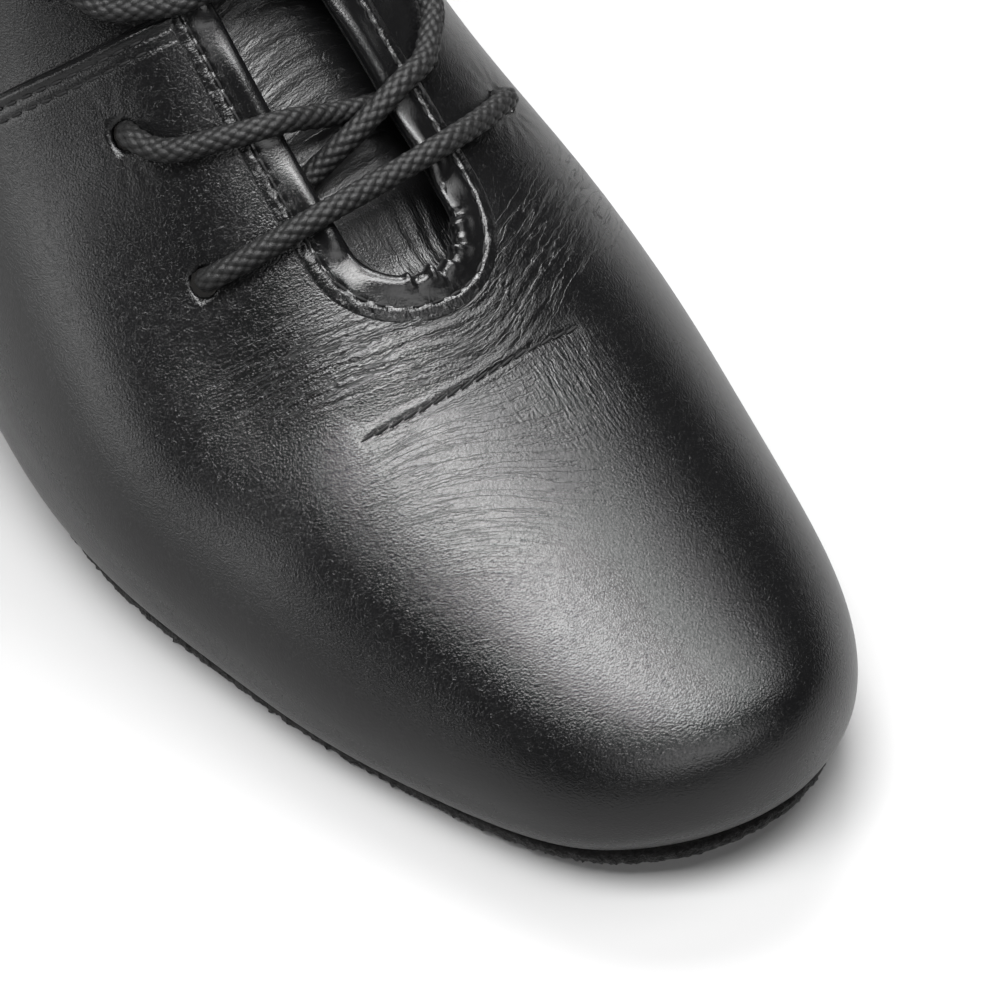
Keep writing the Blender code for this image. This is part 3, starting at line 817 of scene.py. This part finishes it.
station = np.linspace(SEAM - SHAFT_OVERLAP, 1, 2000)
crowding = np.cumsum(1 + profile_at(SHAFT_CLOSER, station))
SHAFT_STATIONS = np.interp(np.linspace(crowding[0], crowding[-1], SHAFT_ROWS + 1), crowding, station)

bm, column, row = sheet_of(len(SHAFT_ACROSS) - 1, SHAFT_ROWS)
across, station = SHAFT_ACROSS[column], SHAFT_STATIONS[row]
s, angle = lay(across, station)
base = surface(s, angle)
throat_line = surface(*line_of(*throat_path(1.0)))
collar_line = surface(*line_of(np.linspace(1, 2, 500), np.full(500, 1.0)))
collar_line = np.concatenate((collar_line, surface(*line_of(np.linspace(-2, -1, 500), np.full(500, 1.0)))))
back_s = np.linspace(BACK_S, 1, 400)
back_line = surface(back_s, np.full(400, math.pi))
throat_distance, _ = along_line(throat_line, base)
collar_distance, _ = along_line(collar_line, base)
back_distance, _ = along_line(back_line, base)
past_seam, _ = along_line(seam_line, base)
past_seam = np.where(station < SEAM, -past_seam, past_seam)
relief = -SHAFT_SUNK * MM * (1 - 0.85 * smooth(0, SHAFT_EASE, past_seam / MM))
relief += edge_relief(throat_distance, (FACING_STITCHES,)) + edge_relief(collar_distance, (COLLAR_STITCHES,))
relief += eyelet_relief(base) + 1.6 * slack_relief(base)
relief += MM * profile_at(BACK_PROFILE, back_distance / MM)
ankle = np.sin((s - ANKLE_S) * 150 + 2 * np.cos(angle * 2)) * bump(s - ANKLE_S, 0.035)
relief += ANKLE_DEPTH * ankle * bump(np.abs(angle) - 1.0, 0.5)
relief *= smooth(3.1, 2.6, np.abs(angle)) * (s < 0.7) + (s >= 0.7)
run = np.stack((angle * GIRTH, s * RUN, np.zeros(s.shape)), axis=-1)
place(bm, skin(s, angle, relief), run=run, creased=np.zeros((len(s), 3)))
cut_open(bm, across, s, 2.0, station)
punch(bm, EYELET_RADIUS)
shaft = piece_of(bm, "shaft", vamp_leather, lining_leather)
thicken(shaft, SHAFT_THICK, 1)
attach(shaft, "root")
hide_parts("upper")

# Thread
# Black waxed thread, sewn through the leather in rows of short stitches: along the binding, in two rows
# down the seam of vamp and shaft, over the dart, and along facings, collar and back seam.
STITCH_PITCH = 2.8 * MM
STITCH_LENGTH = 2.0 * MM
THREAD_RADIUS = 0.24 * MM
BINDING_STITCH_LIFT = 0.16 * MM
DART_STITCH = {"lift": -0.10 * MM, "pitch": 2.3 * MM, "length": 2.6 * MM, "slant": 0.16, "radius": 0.21 * MM}


def sew(bm, s, angle, lift, pitch=STITCH_PITCH, length=STITCH_LENGTH, slant=0.0, radius=THREAD_RADIUS):
    """A row of stitches along a line on the leather, each one a short rounded length of thread."""
    points = skin(s, angle, lift)
    run = run_along(points)
    forwards = unit(np.gradient(points, axis=0))
    outwards = normal(s, angle)
    row = bmesh.new()
    for at in np.arange(pitch / 2, run[-1], pitch):
        index = np.searchsorted(run, at)
        outward = Vector(outwards[index])
        forward = Matrix.Rotation(slant, 3, outward) @ Vector(forwards[index])
        sideways = outward.cross(forward)
        turn = Matrix((forward, sideways, forward.cross(sideways))).transposed().to_4x4()
        size = Matrix.Diagonal((length / 2, radius, radius, 1))
        bmesh.ops.create_uvsphere(row, u_segments=8, v_segments=6, radius=1,
                                  matrix=Matrix.Translation(Vector(points[index])) @ turn @ size)
    mesh = bpy.data.meshes.new("row")
    row.to_mesh(mesh)
    row.free()
    bm.from_mesh(mesh)
    bpy.data.meshes.remove(mesh)


def aside(s, angle, pull):
    """Directions on the last that lie square to a line and lead the way of the pull."""
    forward = unit(np.gradient(surface(s, angle), axis=0))
    return unit(pull - forward * (pull * forward).sum(-1, keepdims=True))


thread_bm = bmesh.new()
row_s, row_angle = beside(edge_s, edge_angle, away, BINDING_STITCHES * MM)
sew(thread_bm, row_s, row_angle, BINDING_STITCH_LIFT)
angle = np.linspace(DART_FROM, DART_TO, 400)
s = DART_S + DART_BEND * np.maximum(-angle, 0) ** 2
sew(thread_bm, s, angle, **DART_STITCH)
for side in (-1, 1):
    s, angle = line_of(side * np.linspace(1.075, 1 + FLOOR_MARGIN, 600), np.full(600, SEAM))
    toeward = aside(s, angle, -slopes(s, angle)[0])
    for distance in SEAM_STITCHES:
        sew(thread_bm, *beside(s, angle, toeward, distance * MM, 2), 0.0)
    s, angle = line_of(np.full(400, side * 1.0), np.linspace(SEAM + 0.02, 0.985, 400))
    outward = aside(s, angle, side * slopes(s, angle)[1])
    sew(thread_bm, *beside(s, angle, outward, FACING_STITCHES * MM, 2), 0.0)
    s, angle = line_of(side * np.linspace(1.06, 1.99, 400), np.full(400, 1.0))
    downward = aside(s, angle, -slopes(s, angle)[0])
    sew(thread_bm, *beside(s, angle, downward, COLLAR_STITCHES * MM, 2), 0.0)
    s, angle = np.linspace(0.80, 0.985, 400), np.full(400, side * 3.12)
    outward = aside(s, angle, -side * slopes(s, angle)[1])
    sew(thread_bm, *beside(s, angle, outward, BACK_STITCHES * MM, 2), 0.0)
thread, shader, at = material_of("waxed_thread", Roughness=0.7, Specular_IOR_Level=0.16)
at.noise(900.0).mix((0.002, 0.002, 0.002), (0.005, 0.005, 0.0053)).lead(shader, "Base Color")
stitches = piece_of(thread_bm, "stitches", thread)
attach(stitches, "root")
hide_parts("upper")

# Tongue
# A soft leather strip sunk under the throat. Its lower end is sewn under the vamp, where it bunches in
# lengthwise folds, and higher up it is wrinkled from side to side.
TONGUE_ANGLE = 0.58
TONGUE_START = 0.262
TONGUE_TOP = 1.035
TONGUE_DROP = 3.9
TONGUE_DROPPED = 0.302
TONGUE_SAG = 3.0
TONGUE_SAG_S = ((0.33, 0.46), (0.9, 0.6))
TONGUE_DIP = ((0.292, 1.8, 0.03),)
BUNCH_MIDDLE = 2.5
TONGUE_THICK = 1.4 * MM
WALL = 1.6
TONGUE_COLUMNS = 64
TONGUE_STATIONS = np.concatenate((np.linspace(TONGUE_START, 0.46, 150),
                                  np.linspace(0.46, TONGUE_TOP, 90)[1:]))

bm, column, row = sheet_of(TONGUE_COLUMNS, len(TONGUE_STATIONS) - 1)
s = TONGUE_STATIONS[row]
angle = TONGUE_ANGLE * (2 * column / TONGUE_COLUMNS - 1)
drop = TONGUE_DROP * smooth(THROAT_BOTTOM - THROAT_ROUND, TONGUE_DROPPED, s)
drop = drop + profile_at(TONGUE_DIP, s) + TONGUE_SAG * between(TONGUE_SAG_S, s)
wide = angle * GIRTH / MM
far = (s - THROAT_BOTTOM) * RUN / MM
fan = (wide - BUNCH_MIDDLE) / (1 + 0.09 * np.maximum(far, 0))
bunched = 0.22 * np.sin(fan * 3.4 + 0.6 + 0.5 * np.sin(far / 2.6)) + 0.14 * np.sin(fan * 6.3 + 1.0 + far / 4)
bunched = bunched * smooth(15, 3, far) * bump(wide - BUNCH_MIDDLE, 5)
cross = 0.13 * np.sin(far * 2.0 + 0.6 * np.sin(wide / 2.2) + 0.5 * np.sin(wide / 5.0 + far / 9))
cross += 0.10 * np.sin(far * 3.1 - 0.5 * np.sin(wide / 1.7 + 1) + 1.0)
cross = cross * smooth(12, 26, far) * (0.6 + 0.4 * np.sin(far / 7 + wide / 6))
sag = -0.5 * bump(far - 34, 14) * bump(wide, 8)
edge = -0.5 * smooth(0.52, TONGUE_ANGLE, np.abs(angle)) - 0.6 * smooth(TONGUE_TOP - 0.004, TONGUE_TOP, s)
lift = -(WALL + GAP / MM + drop) + bunched + cross + sag + edge
run = np.stack((wide, far, np.zeros(s.shape)), axis=-1) * MM
creased = np.stack((0.5 * smooth(10, 26, far), 0.8 * smooth(16, 4, far), np.zeros(s.shape)), axis=-1)
place(bm, skin(s, angle, lift * MM), run=run, creased=creased)
tongue_leather = leather("tongue_leather", (0.0014, 0.0014, 0.0015), (0.0024, 0.0024, 0.0025), 0.28,
                         0.5 * MM, 0.06 * MM, 0.12 * MM)
tongue = piece_of(bm, "tongue_strip", tongue_leather, lining_leather)
thicken(tongue, TONGUE_THICK, 1)
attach(tongue, "root")
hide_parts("tongue")

# Outsole
# A thin sole of black split suede, cut a little inside the upper's edge and cemented under it. Its cut
# edge is frayed, and its underside has a brushed nap.
SOLE_HEIGHT = 8 * MM
SOLE_INSETS = (2.5 * MM, 3.4 * MM, 2.0 * MM)
TOE_INSET_ZONE = (0.80, 0.95)
HEEL_INSET_ZONE = (0.25, 0.10)
FRAY = 0.12 * MM
TUFT = 0.3 * MM

# The sole's edge from the middle of its top round to the middle of its underside: how far inside the
# outline, as a share of the way to the middle or in millimetres, the height and how frayed it is
SOLE_PROFILE = (
    (1.0, 0, 1.0, 0), (0.5, 0, 1.0, 0), (0, 2.5, 1.0, 0), (0, 1.0, 1.0, 0.4), (0, 0.35, 0.97, 0.8),
    (0, 0.1, 0.86, 1), (0, 0, 0.68, 1), (0, 0, 0.5, 1), (0, 0, 0.32, 1), (0, 0.1, 0.14, 1),
    (0, 0.4, 0.03, 0.8), (0, 1.2, 0.0, 0.3), (0, 3.0, 0.0, 0), (0.3, 0, 0.0, 0), (0.65, 0, 0.0, 0),
    (1.0, 0, 0.0, 0),
)


def level_outline(height, lift, inset_toe, inset_side, inset_heel):
    """t and x of a skin over the last at a height above the sole, moved inwards by an inset."""
    s = np.linspace(0, 0.85, 560)[1:]
    around = np.linspace(math.pi / 3, math.pi, 240)
    sides = []
    for sign in (-1, 1):
        grid_s, grid_angle = np.meshgrid(s, sign * around, indexing="ij")
        points = skin(grid_s, grid_angle, lift)
        t = MIDDLE_T - points[..., 1]
        spare = points[..., 2] - sole_top(t) - height
        below = spare < 0
        rows = np.flatnonzero(below.any(axis=1) & ~below[:, 0])
        first = below[rows].argmax(axis=1)
        high, low = spare[rows, first - 1], spare[rows, first]
        share = high / (high - low)
        x = points[rows, first - 1, 0] * (1 - share) + points[rows, first, 0] * share
        t = t[rows, first - 1] * (1 - share) + t[rows, first] * share
        dx, dt = np.gradient(x), np.gradient(t)
        size = np.hypot(dx, dt)
        inset = inset_side + (inset_toe - inset_side) * smooth(*TOE_INSET_ZONE, t / LENGTH)
        inset += (inset_heel - inset_side) * smooth(*HEEL_INSET_ZONE, t / LENGTH)
        sides.append(np.stack((t - sign * inset * dx / size, x + sign * inset * dt / size)))
    lateral, medial = sides
    return np.concatenate((lateral, medial[:, ::-1]), axis=1)


def even_loop(t, x, spacing, blur):
    """A closed outline as evenly spaced, slightly rounded points, with their outward directions."""
    loop = np.stack((x, MIDDLE_T - t), axis=-1)
    loop = np.concatenate((loop, loop[:1]))
    run = run_along(loop)
    count = round(run[-1] / spacing)
    at = np.linspace(0, run[-1], count, endpoint=False)
    loop = np.stack([np.interp(at, run, loop[:, axis]) for axis in (0, 1)], axis=-1)
    distance = np.minimum(np.arange(count), count - np.arange(count)) * spacing
    weight = bump(distance, blur)
    soften = np.fft.rfft(weight / weight.sum())
    loop = np.stack([np.fft.irfft(np.fft.rfft(loop[:, axis]) * soften, count) for axis in (0, 1)], axis=-1)
    forward = unit(np.roll(loop, -1, axis=0) - np.roll(loop, 1, axis=0))
    return loop, np.stack((-forward[:, 1], forward[:, 0]), axis=-1)


def middle_of(loop, blunt):
    """The point on the outline's middle line that each of its points leads to."""
    x, y = loop[np.argsort(loop[:, 1])].T
    inside = np.clip(loop[:, 1], y[0] + blunt, y[-1] - blunt)
    low = np.interp(inside, y[x < 0], x[x < 0])
    high = np.interp(inside, y[x >= 0], x[x >= 0])
    return np.stack(((low + high) / 2, inside), axis=-1)


def slab(loop, outward, profile, blunt, height, fray=0.0):
    """A flat piece whose edge follows a profile round an outline. height gives z at t and a level."""
    profile = np.array(profile)
    middle = middle_of(loop, blunt)
    bm, column, row = sheet_of(len(profile) - 1, len(loop))
    row = row % len(loop)
    share, inset, level, rough = profile[column].T
    flat = loop[row] + (middle[row] - loop[row]) * share[:, None]
    uneven = fray_of(len(loop), len(profile))[row, column] * rough * fray
    flat -= outward[row] * (inset * MM - uneven)[:, None]
    z = height(MIDDLE_T - flat[:, 1], level)
    place(bm, np.concatenate((flat, z[:, None]), axis=1))
    bmesh.ops.remove_doubles(bm, verts=bm.verts, dist=0.01 * MM)
    bmesh.ops.recalc_face_normals(bm, faces=bm.faces)
    return bm


def fray_of(rows, columns):
    """Seeded unevenness of a cut edge, with a few longer tufts."""
    random = np.random.default_rng(11)
    uneven = random.normal(size=(rows, columns))
    uneven += np.roll(uneven, 1, axis=0) + np.roll(uneven, 1, axis=1)
    tufts = random.random((rows, columns)) > 0.985
    return uneven * 0.6 + tufts * TUFT / FRAY


sole_t, sole_x = level_outline(SOLE_HEIGHT, 0, *SOLE_INSETS)
sole_loop, sole_outward = even_loop(sole_t, sole_x, 0.4 * MM, 2.0 * MM)
bm = slab(sole_loop, sole_outward, SOLE_PROFILE, 30 * MM,
          lambda t, level: sole_under(t) + SOLE_THICK * level, FRAY)
suede, shader, at = material_of("black_suede", Roughness=0.95, Specular_IOR_Level=0.12, Sheen_Weight=0.06)
nap = at.noise(2600.0, 3.0) + at.noise(700.0) * 0.6
nap.raise_in(shader, 0.35 * MM)
dusty = at.noise(1500.0, 3.0).step(0.35, 0.7)
dusty.mix((0.002, 0.002, 0.002), (0.009, 0.0087, 0.0087)).lead(shader, "Base Color")
outsole = piece_of(bm, "suede_outsole", suede)
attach(outsole, "root")
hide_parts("outsole")

# Heel
# A low block of stacked leather lifts with a thin top piece, trimmed flush, blacked and nailed from
# inside. It stands under the seat of the sole.
HEEL_BREAST = 0.21 * LENGTH
HEEL_TAPER = 1.5
HEEL_TOP = HEEL_LIFT - GAP
LIFT_LINES = (0.22, 0.42, 0.62, 0.82)

levels = [(1.0, 0, 1.0, 0), (0.5, 0, 1.0, 0), (0, 1.0, 1.0, 0), (0, 0.3, 0.985, 0)]
for top, bottom in zip((0.98, *LIFT_LINES[::-1]), (*LIFT_LINES[::-1], 0.02)):
    levels += [(0, 0.2, top - 0.008, 0), (0, 0, top - 0.03, 0), (0, 0, (top + bottom) / 2, 0),
               (0, 0, bottom + 0.03, 0), (0, 0.2, bottom + 0.008, 0)]
levels += [(0, 0.6, 0.0, 0), (0, 2.0, 0.0, 0), (0.5, 0, 0.0, 0), (1.0, 0, 0.0, 0)]
levels = [(share, inset + (HEEL_TAPER * (1 - level) if share == 0 else 0), level, rough)
          for share, inset, level, rough in levels]
seat = sole_t < HEEL_BREAST
heel_loop, heel_outward = even_loop(sole_t[seat], sole_x[seat], 0.6 * MM, 0.9 * MM)
bm = slab(heel_loop, heel_outward, levels, 22 * MM, lambda t, level: HEEL_TOP * level)
stack, shader, at = material_of("stacked_leather", Specular_IOR_Level=0.3)
layers = at.stretched(120.0, 120.0, 2600.0).noise(1.0, 3.0)
layers.raise_in(shader, 0.12 * MM)
layers.mix((0.007, 0.007, 0.007), (0.014, 0.0134, 0.0128)).lead(shader, "Base Color")
(0.42 + layers * 0.2).lead(shader, "Roughness")
heel = piece_of(bm, "heel_stack", stack)
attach(heel, "root")
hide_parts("heel")

# Insole
# A sock of lining leather, cut to the inside of the upper and laid over the lasting margin. Its edge is
# rounded, and a line is pressed along it.
INSOLE_THICK = 2.0 * MM
INSOLE_INSET = 4.0 * MM
FLOOR_RISE = 2 * GAP + WALL * MM
INSOLE_PROFILE = (
    (1.0, 0, 0.0, 0), (0.5, 0, 0.0, 0), (0, 1.0, 0.0, 0), (0, 0.3, 0.1, 0), (0, 0, 0.4, 0),
    (0, 0.1, 0.75, 0), (0, 0.5, 0.96, 0), (0, 1.2, 1.0, 0), (0, 2.0, 0.97, 0), (0, 2.4, 0.88, 0),
    (0, 2.8, 0.97, 0), (0, 4.0, 1.0, 0), (0.4, 0, 0.98, 0), (0.7, 0, 0.95, 0), (1.0, 0, 0.94, 0),
)
insole_plan = level_outline(FLOOR_RISE + 2 * GAP, -WALL * MM - GAP, *(INSOLE_INSET,) * 3)
insole_loop, insole_outward = even_loop(*insole_plan, 0.8 * MM, 2.0 * MM)
bm = slab(insole_loop, insole_outward, INSOLE_PROFILE, 26 * MM,
          lambda t, level: sole_top(t) + FLOOR_RISE + INSOLE_THICK * level)
insole = piece_of(bm, "insole_sock", lining_leather)
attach(insole, "root")
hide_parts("insole")

# Lace
# One round cord of black braided cotton. It lies over the throat between the lowest eyelets, and from
# there each half goes in under the facing, out at the throat and over to the next eyelet, to the top pair.
LACE_RADIUS = 1.75 * MM
BRAID_STRANDS = 6
BRAID_PITCH = 2.2 * MM
LACE_SIDES = 48
LACE_STEP = 0.34 * MM
BAR_SAG = 0.020

# A crossing from an eyelet to the next pair's other one: the share of the way across, then for the half
# that passes below and for the half above the share of the way up and the height in millimetres
CROSSING = (
    (0.013, 0.00, -0.9, 0.00, -0.9), (0.03, 0.00, -2.7, 0.00, -2.7), (0.06, 0.01, -3.75, -0.01, -3.75),
    (0.11, 0.03, -4.0, -0.03, -4.0), (0.20, 0.06, -4.0, -0.05, -4.0), (0.30, 0.09, -3.9, -0.06, -3.8),
    (0.37, 0.10, -3.6, -0.05, -3.3), (0.44, 0.11, -3.0, -0.02, -1.2), (0.52, 0.15, -2.2, 0.03, 0.7),
    (0.61, 0.24, 0.3, 0.11, 2.2), (0.67, 0.31, 2.1, 0.165, 2.6), (0.73, 0.38, 2.5, 0.22, 2.5),
    (0.81, 0.50, 2.2, 0.37, 2.15), (0.89, 0.64, 2.1, 0.56, 2.1), (0.94, 0.79, 2.05, 0.78, 2.05),
    (0.968, 0.92, 1.6, 0.92, 1.6),
)
BAR = (
    (0.030, 1.5), (0.06, 2.05), (0.12, 2.1), (0.22, 2.3), (0.31, 2.7), (0.40, 1.9), (0.50, 1.6), (0.57, 2.0),
    (0.64, 2.7), (0.76, 2.3), (0.88, 2.1), (0.94, 2.05), (0.97, 1.5),
)
LACE_END = ((0.017, -0.9), (0.04, -3.0))

# The strands of the braid in shares of the cord's radius: how round they are, how far they rise and dip
STRAND_ROUND = 0.75
STRAND_FLAT = 0.9
STRAND_WAVE = 0.32
BRAID_CORE = 0.74
BRAID_RELIEF = 0.28


def half_lace(side, above):
    """Points of one half, from the lowest eyelet on a side up to the top pair."""
    stations = eyelet_stations()
    points = []
    for pair in range(EYELET_PAIRS - 1):
        for share, *climbs in CROSSING:
            climb, lift = climbs[2:] if above else climbs[:2]
            s = stations[pair] + (stations[pair + 1] - stations[pair]) * climb
            points.append((s, side * EYELET_ANGLE * (1 - 2 * share), lift))
        side = -side
    return points + [(stations[-1], side * (EYELET_ANGLE - short), lift) for short, lift in LACE_END]


bar = [(eyelet_stations()[0] - BAR_SAG * (1 - (2 * share - 1) ** 2), EYELET_ANGLE * (2 * share - 1), lift)
       for share, lift in BAR]
route = np.array(half_lace(-1, True)[::-1] + bar + half_lace(1, False))
points = skin(route[:, 0], route[:, 1], route[:, 2] * MM)
knots = run_along(points)
rings = round(knots[-1] / LACE_STEP)
far = np.linspace(0, knots[-1], rings + 1)
path = np.stack([spline(knots, points[:, axis], far) for axis in range(3)], axis=-1)
forwards = unit(np.gradient(path, axis=0))
side = Vector(forwards[0]).orthogonal().normalized()
sides = []
for forward in forwards:
    forward = Vector(forward)
    side = (side - forward * side.dot(forward)).normalized()
    sides.append(side.copy())
sides = np.array(sides)
ups = np.cross(forwards, sides)

bm, column, row = sheet_of(LACE_SIDES, rings)
turn = 2 * math.pi * (column % LACE_SIDES) / LACE_SIDES
round_share = BRAID_STRANDS * turn / (2 * math.pi)
right, left = round_share + far[row] / BRAID_PITCH, round_share - far[row] / BRAID_PITCH


def strand(own, other, phase):
    """Height of one set of strands, which rise over the other set and dip under it by turns."""
    number = np.floor(own)
    across = 2 * (own - number) - 1
    wave = np.cos(math.pi * (other - 0.5)) * (1 - 2 * (number % 2)) * phase
    return STRAND_ROUND * np.sqrt(1 - STRAND_FLAT * across ** 2) + STRAND_WAVE * wave


height = np.maximum(strand(right, left, 1), strand(left, right, -1))
radius = LACE_RADIUS * (BRAID_CORE + BRAID_RELIEF * height)
radius = np.where((row == 0) | (row == rings), 0, radius)
spoke = np.cos(turn)[:, None] * sides[row] + np.sin(turn)[:, None] * ups[row]
place(bm, path[row] + radius[:, None] * spoke)
braid_map = bm.loops.layers.uv.new("braid")
for face in bm.faces:
    for corner in face.loops:
        index = corner.vert.index
        corner[braid_map].uv = BRAID_STRANDS * column[index] / LACE_SIDES, far[row[index]] / BRAID_PITCH
bmesh.ops.remove_doubles(bm, verts=bm.verts, dist=0.005 * MM)
bmesh.ops.recalc_face_normals(bm, faces=bm.faces)
cord, shader, at = material_of("braided_cord", Specular_IOR_Level=0.2)
braid = at.node("ShaderNodeUVMap", {"uv_map": "braid"}, {})
turn, climb = braid.part(0), braid.part(1)


def strand_look(own, other, phase):
    """The same heights in the material, for the gaps between the strands: their bump, their roughness and
    their painted shade.
    """
    number = own.math("FLOOR")
    across = (own - number) * 2 - 1
    swing = ((other - 0.5) * math.pi).math("COSINE") * (1 - number.math("FLOORED_MODULO", 2.0) * 2)
    rounded = (1 - across * across * STRAND_FLAT).math("SQRT")
    return rounded * STRAND_ROUND + swing * (STRAND_WAVE * phase)


right, left = turn + climb, turn - climb
height = strand_look(right, left, 1).math("MAXIMUM", strand_look(left, right, -1))
fibre = at.noise(5200.0)
((height * 0.22 + fibre * 0.10) * MM).raise_in(shader)
# Painted shade: the cord's colour is darker in the gaps between the strands and lighter on their tops, with
# a random fibre tone over it.
gap_shade_and_fibre = height.step(0.5, 1.0) * (0.4 + fibre)
gap_shade_and_fibre.mix((0.0004, 0.0004, 0.0004), (0.0026, 0.0026, 0.0027)).lead(shader, "Base Color")
(0.95 - height.step(0.45, 0.9) * 0.45).lead(shader, "Roughness")
lace = piece_of(bm, "lace", cord)
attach(lace, "root")
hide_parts("lace_bar_1", *[f"lace_cross_{pair}" for pair in range(2, EYELET_PAIRS + 1)])

# Floor, lights and camera
# A plain pale floor under a large soft box overhead, with weaker ones at the sides, in front and behind.
# The camera looks down on the lateral side of the toe.
FLOOR_SIZE = 3.0
FLOOR_COLOUR = (0.19, 0.19, 0.19, 1)
STUDIO_LIGHT = 0.08

# The soft boxes: where each stands and where it points, its width and height in metres, its power in watts
SOFT_BOXES = {
    "overhead": ((-0.38, -0.07, 1.24), (-0.445, -0.17, 0.03), 1.20, 0.50, 67),
    "front": ((0.50, -0.20, 1.24), (0.48, -0.24, 0.03), 0.90, 0.60, 16),
    "fill": ((-0.40, -1.50, 1.00), (0, -0.10, 0), 1.60, 0.90, 22),
    "back": ((0.40, 0.65, 1.10), (0, 0, 0), 0.70, 0.50, 43),
    "left card": ((-0.75, 0.35, 0.13), (0, 0.10, 0.05), 0.7, 0.22, 3.3),
}
CAMERA_AIM = Vector((-0.0048, -0.0845, 0.0383))
CAMERA_AZIMUTH = math.radians(-37.2)
CAMERA_ELEVATION = math.radians(52.37)
CAMERA_DISTANCE = 1.0
CAMERA_LENS = 257.4

bm = bmesh.new()
bmesh.ops.create_grid(bm, x_segments=1, y_segments=1, size=FLOOR_SIZE)
floor_paint, _, _ = material_of("floor_paint", Roughness=0.9, Base_Color=FLOOR_COLOUR)
ground = piece_of(bm, "floor", floor_paint)

for name, (stand, aim, width, height, power) in SOFT_BOXES.items():
    light = bpy.data.lights.new(name, "AREA")
    light.shape = "RECTANGLE"
    light.size = width
    light.size_y = height
    light.energy = power
    lamp = bpy.data.objects.new(name, light)
    lamp.location = stand
    lamp.rotation_euler = (Vector(aim) - Vector(stand)).to_track_quat("-Z", "Y").to_euler()
    bpy.context.collection.objects.link(lamp)

world = bpy.data.worlds.new("studio")
world.use_nodes = True
world.node_tree.nodes["Background"].inputs["Color"].default_value = (1, 1, 1, 1)
world.node_tree.nodes["Background"].inputs["Strength"].default_value = STUDIO_LIGHT
bpy.context.scene.world = world
bpy.context.scene.view_settings.view_transform = "Standard"

camera = bpy.data.cameras.new("camera")
camera.lens = CAMERA_LENS
viewer = bpy.data.objects.new("camera", camera)
toward = Vector((math.sin(CAMERA_AZIMUTH) * math.cos(CAMERA_ELEVATION),
                 -math.cos(CAMERA_AZIMUTH) * math.cos(CAMERA_ELEVATION), math.sin(CAMERA_ELEVATION)))
viewer.location = CAMERA_AIM + toward * CAMERA_DISTANCE
viewer.rotation_euler = (-toward).to_track_quat("-Z", "Y").to_euler()
bpy.context.collection.objects.link(viewer)
bpy.context.scene.camera = viewer
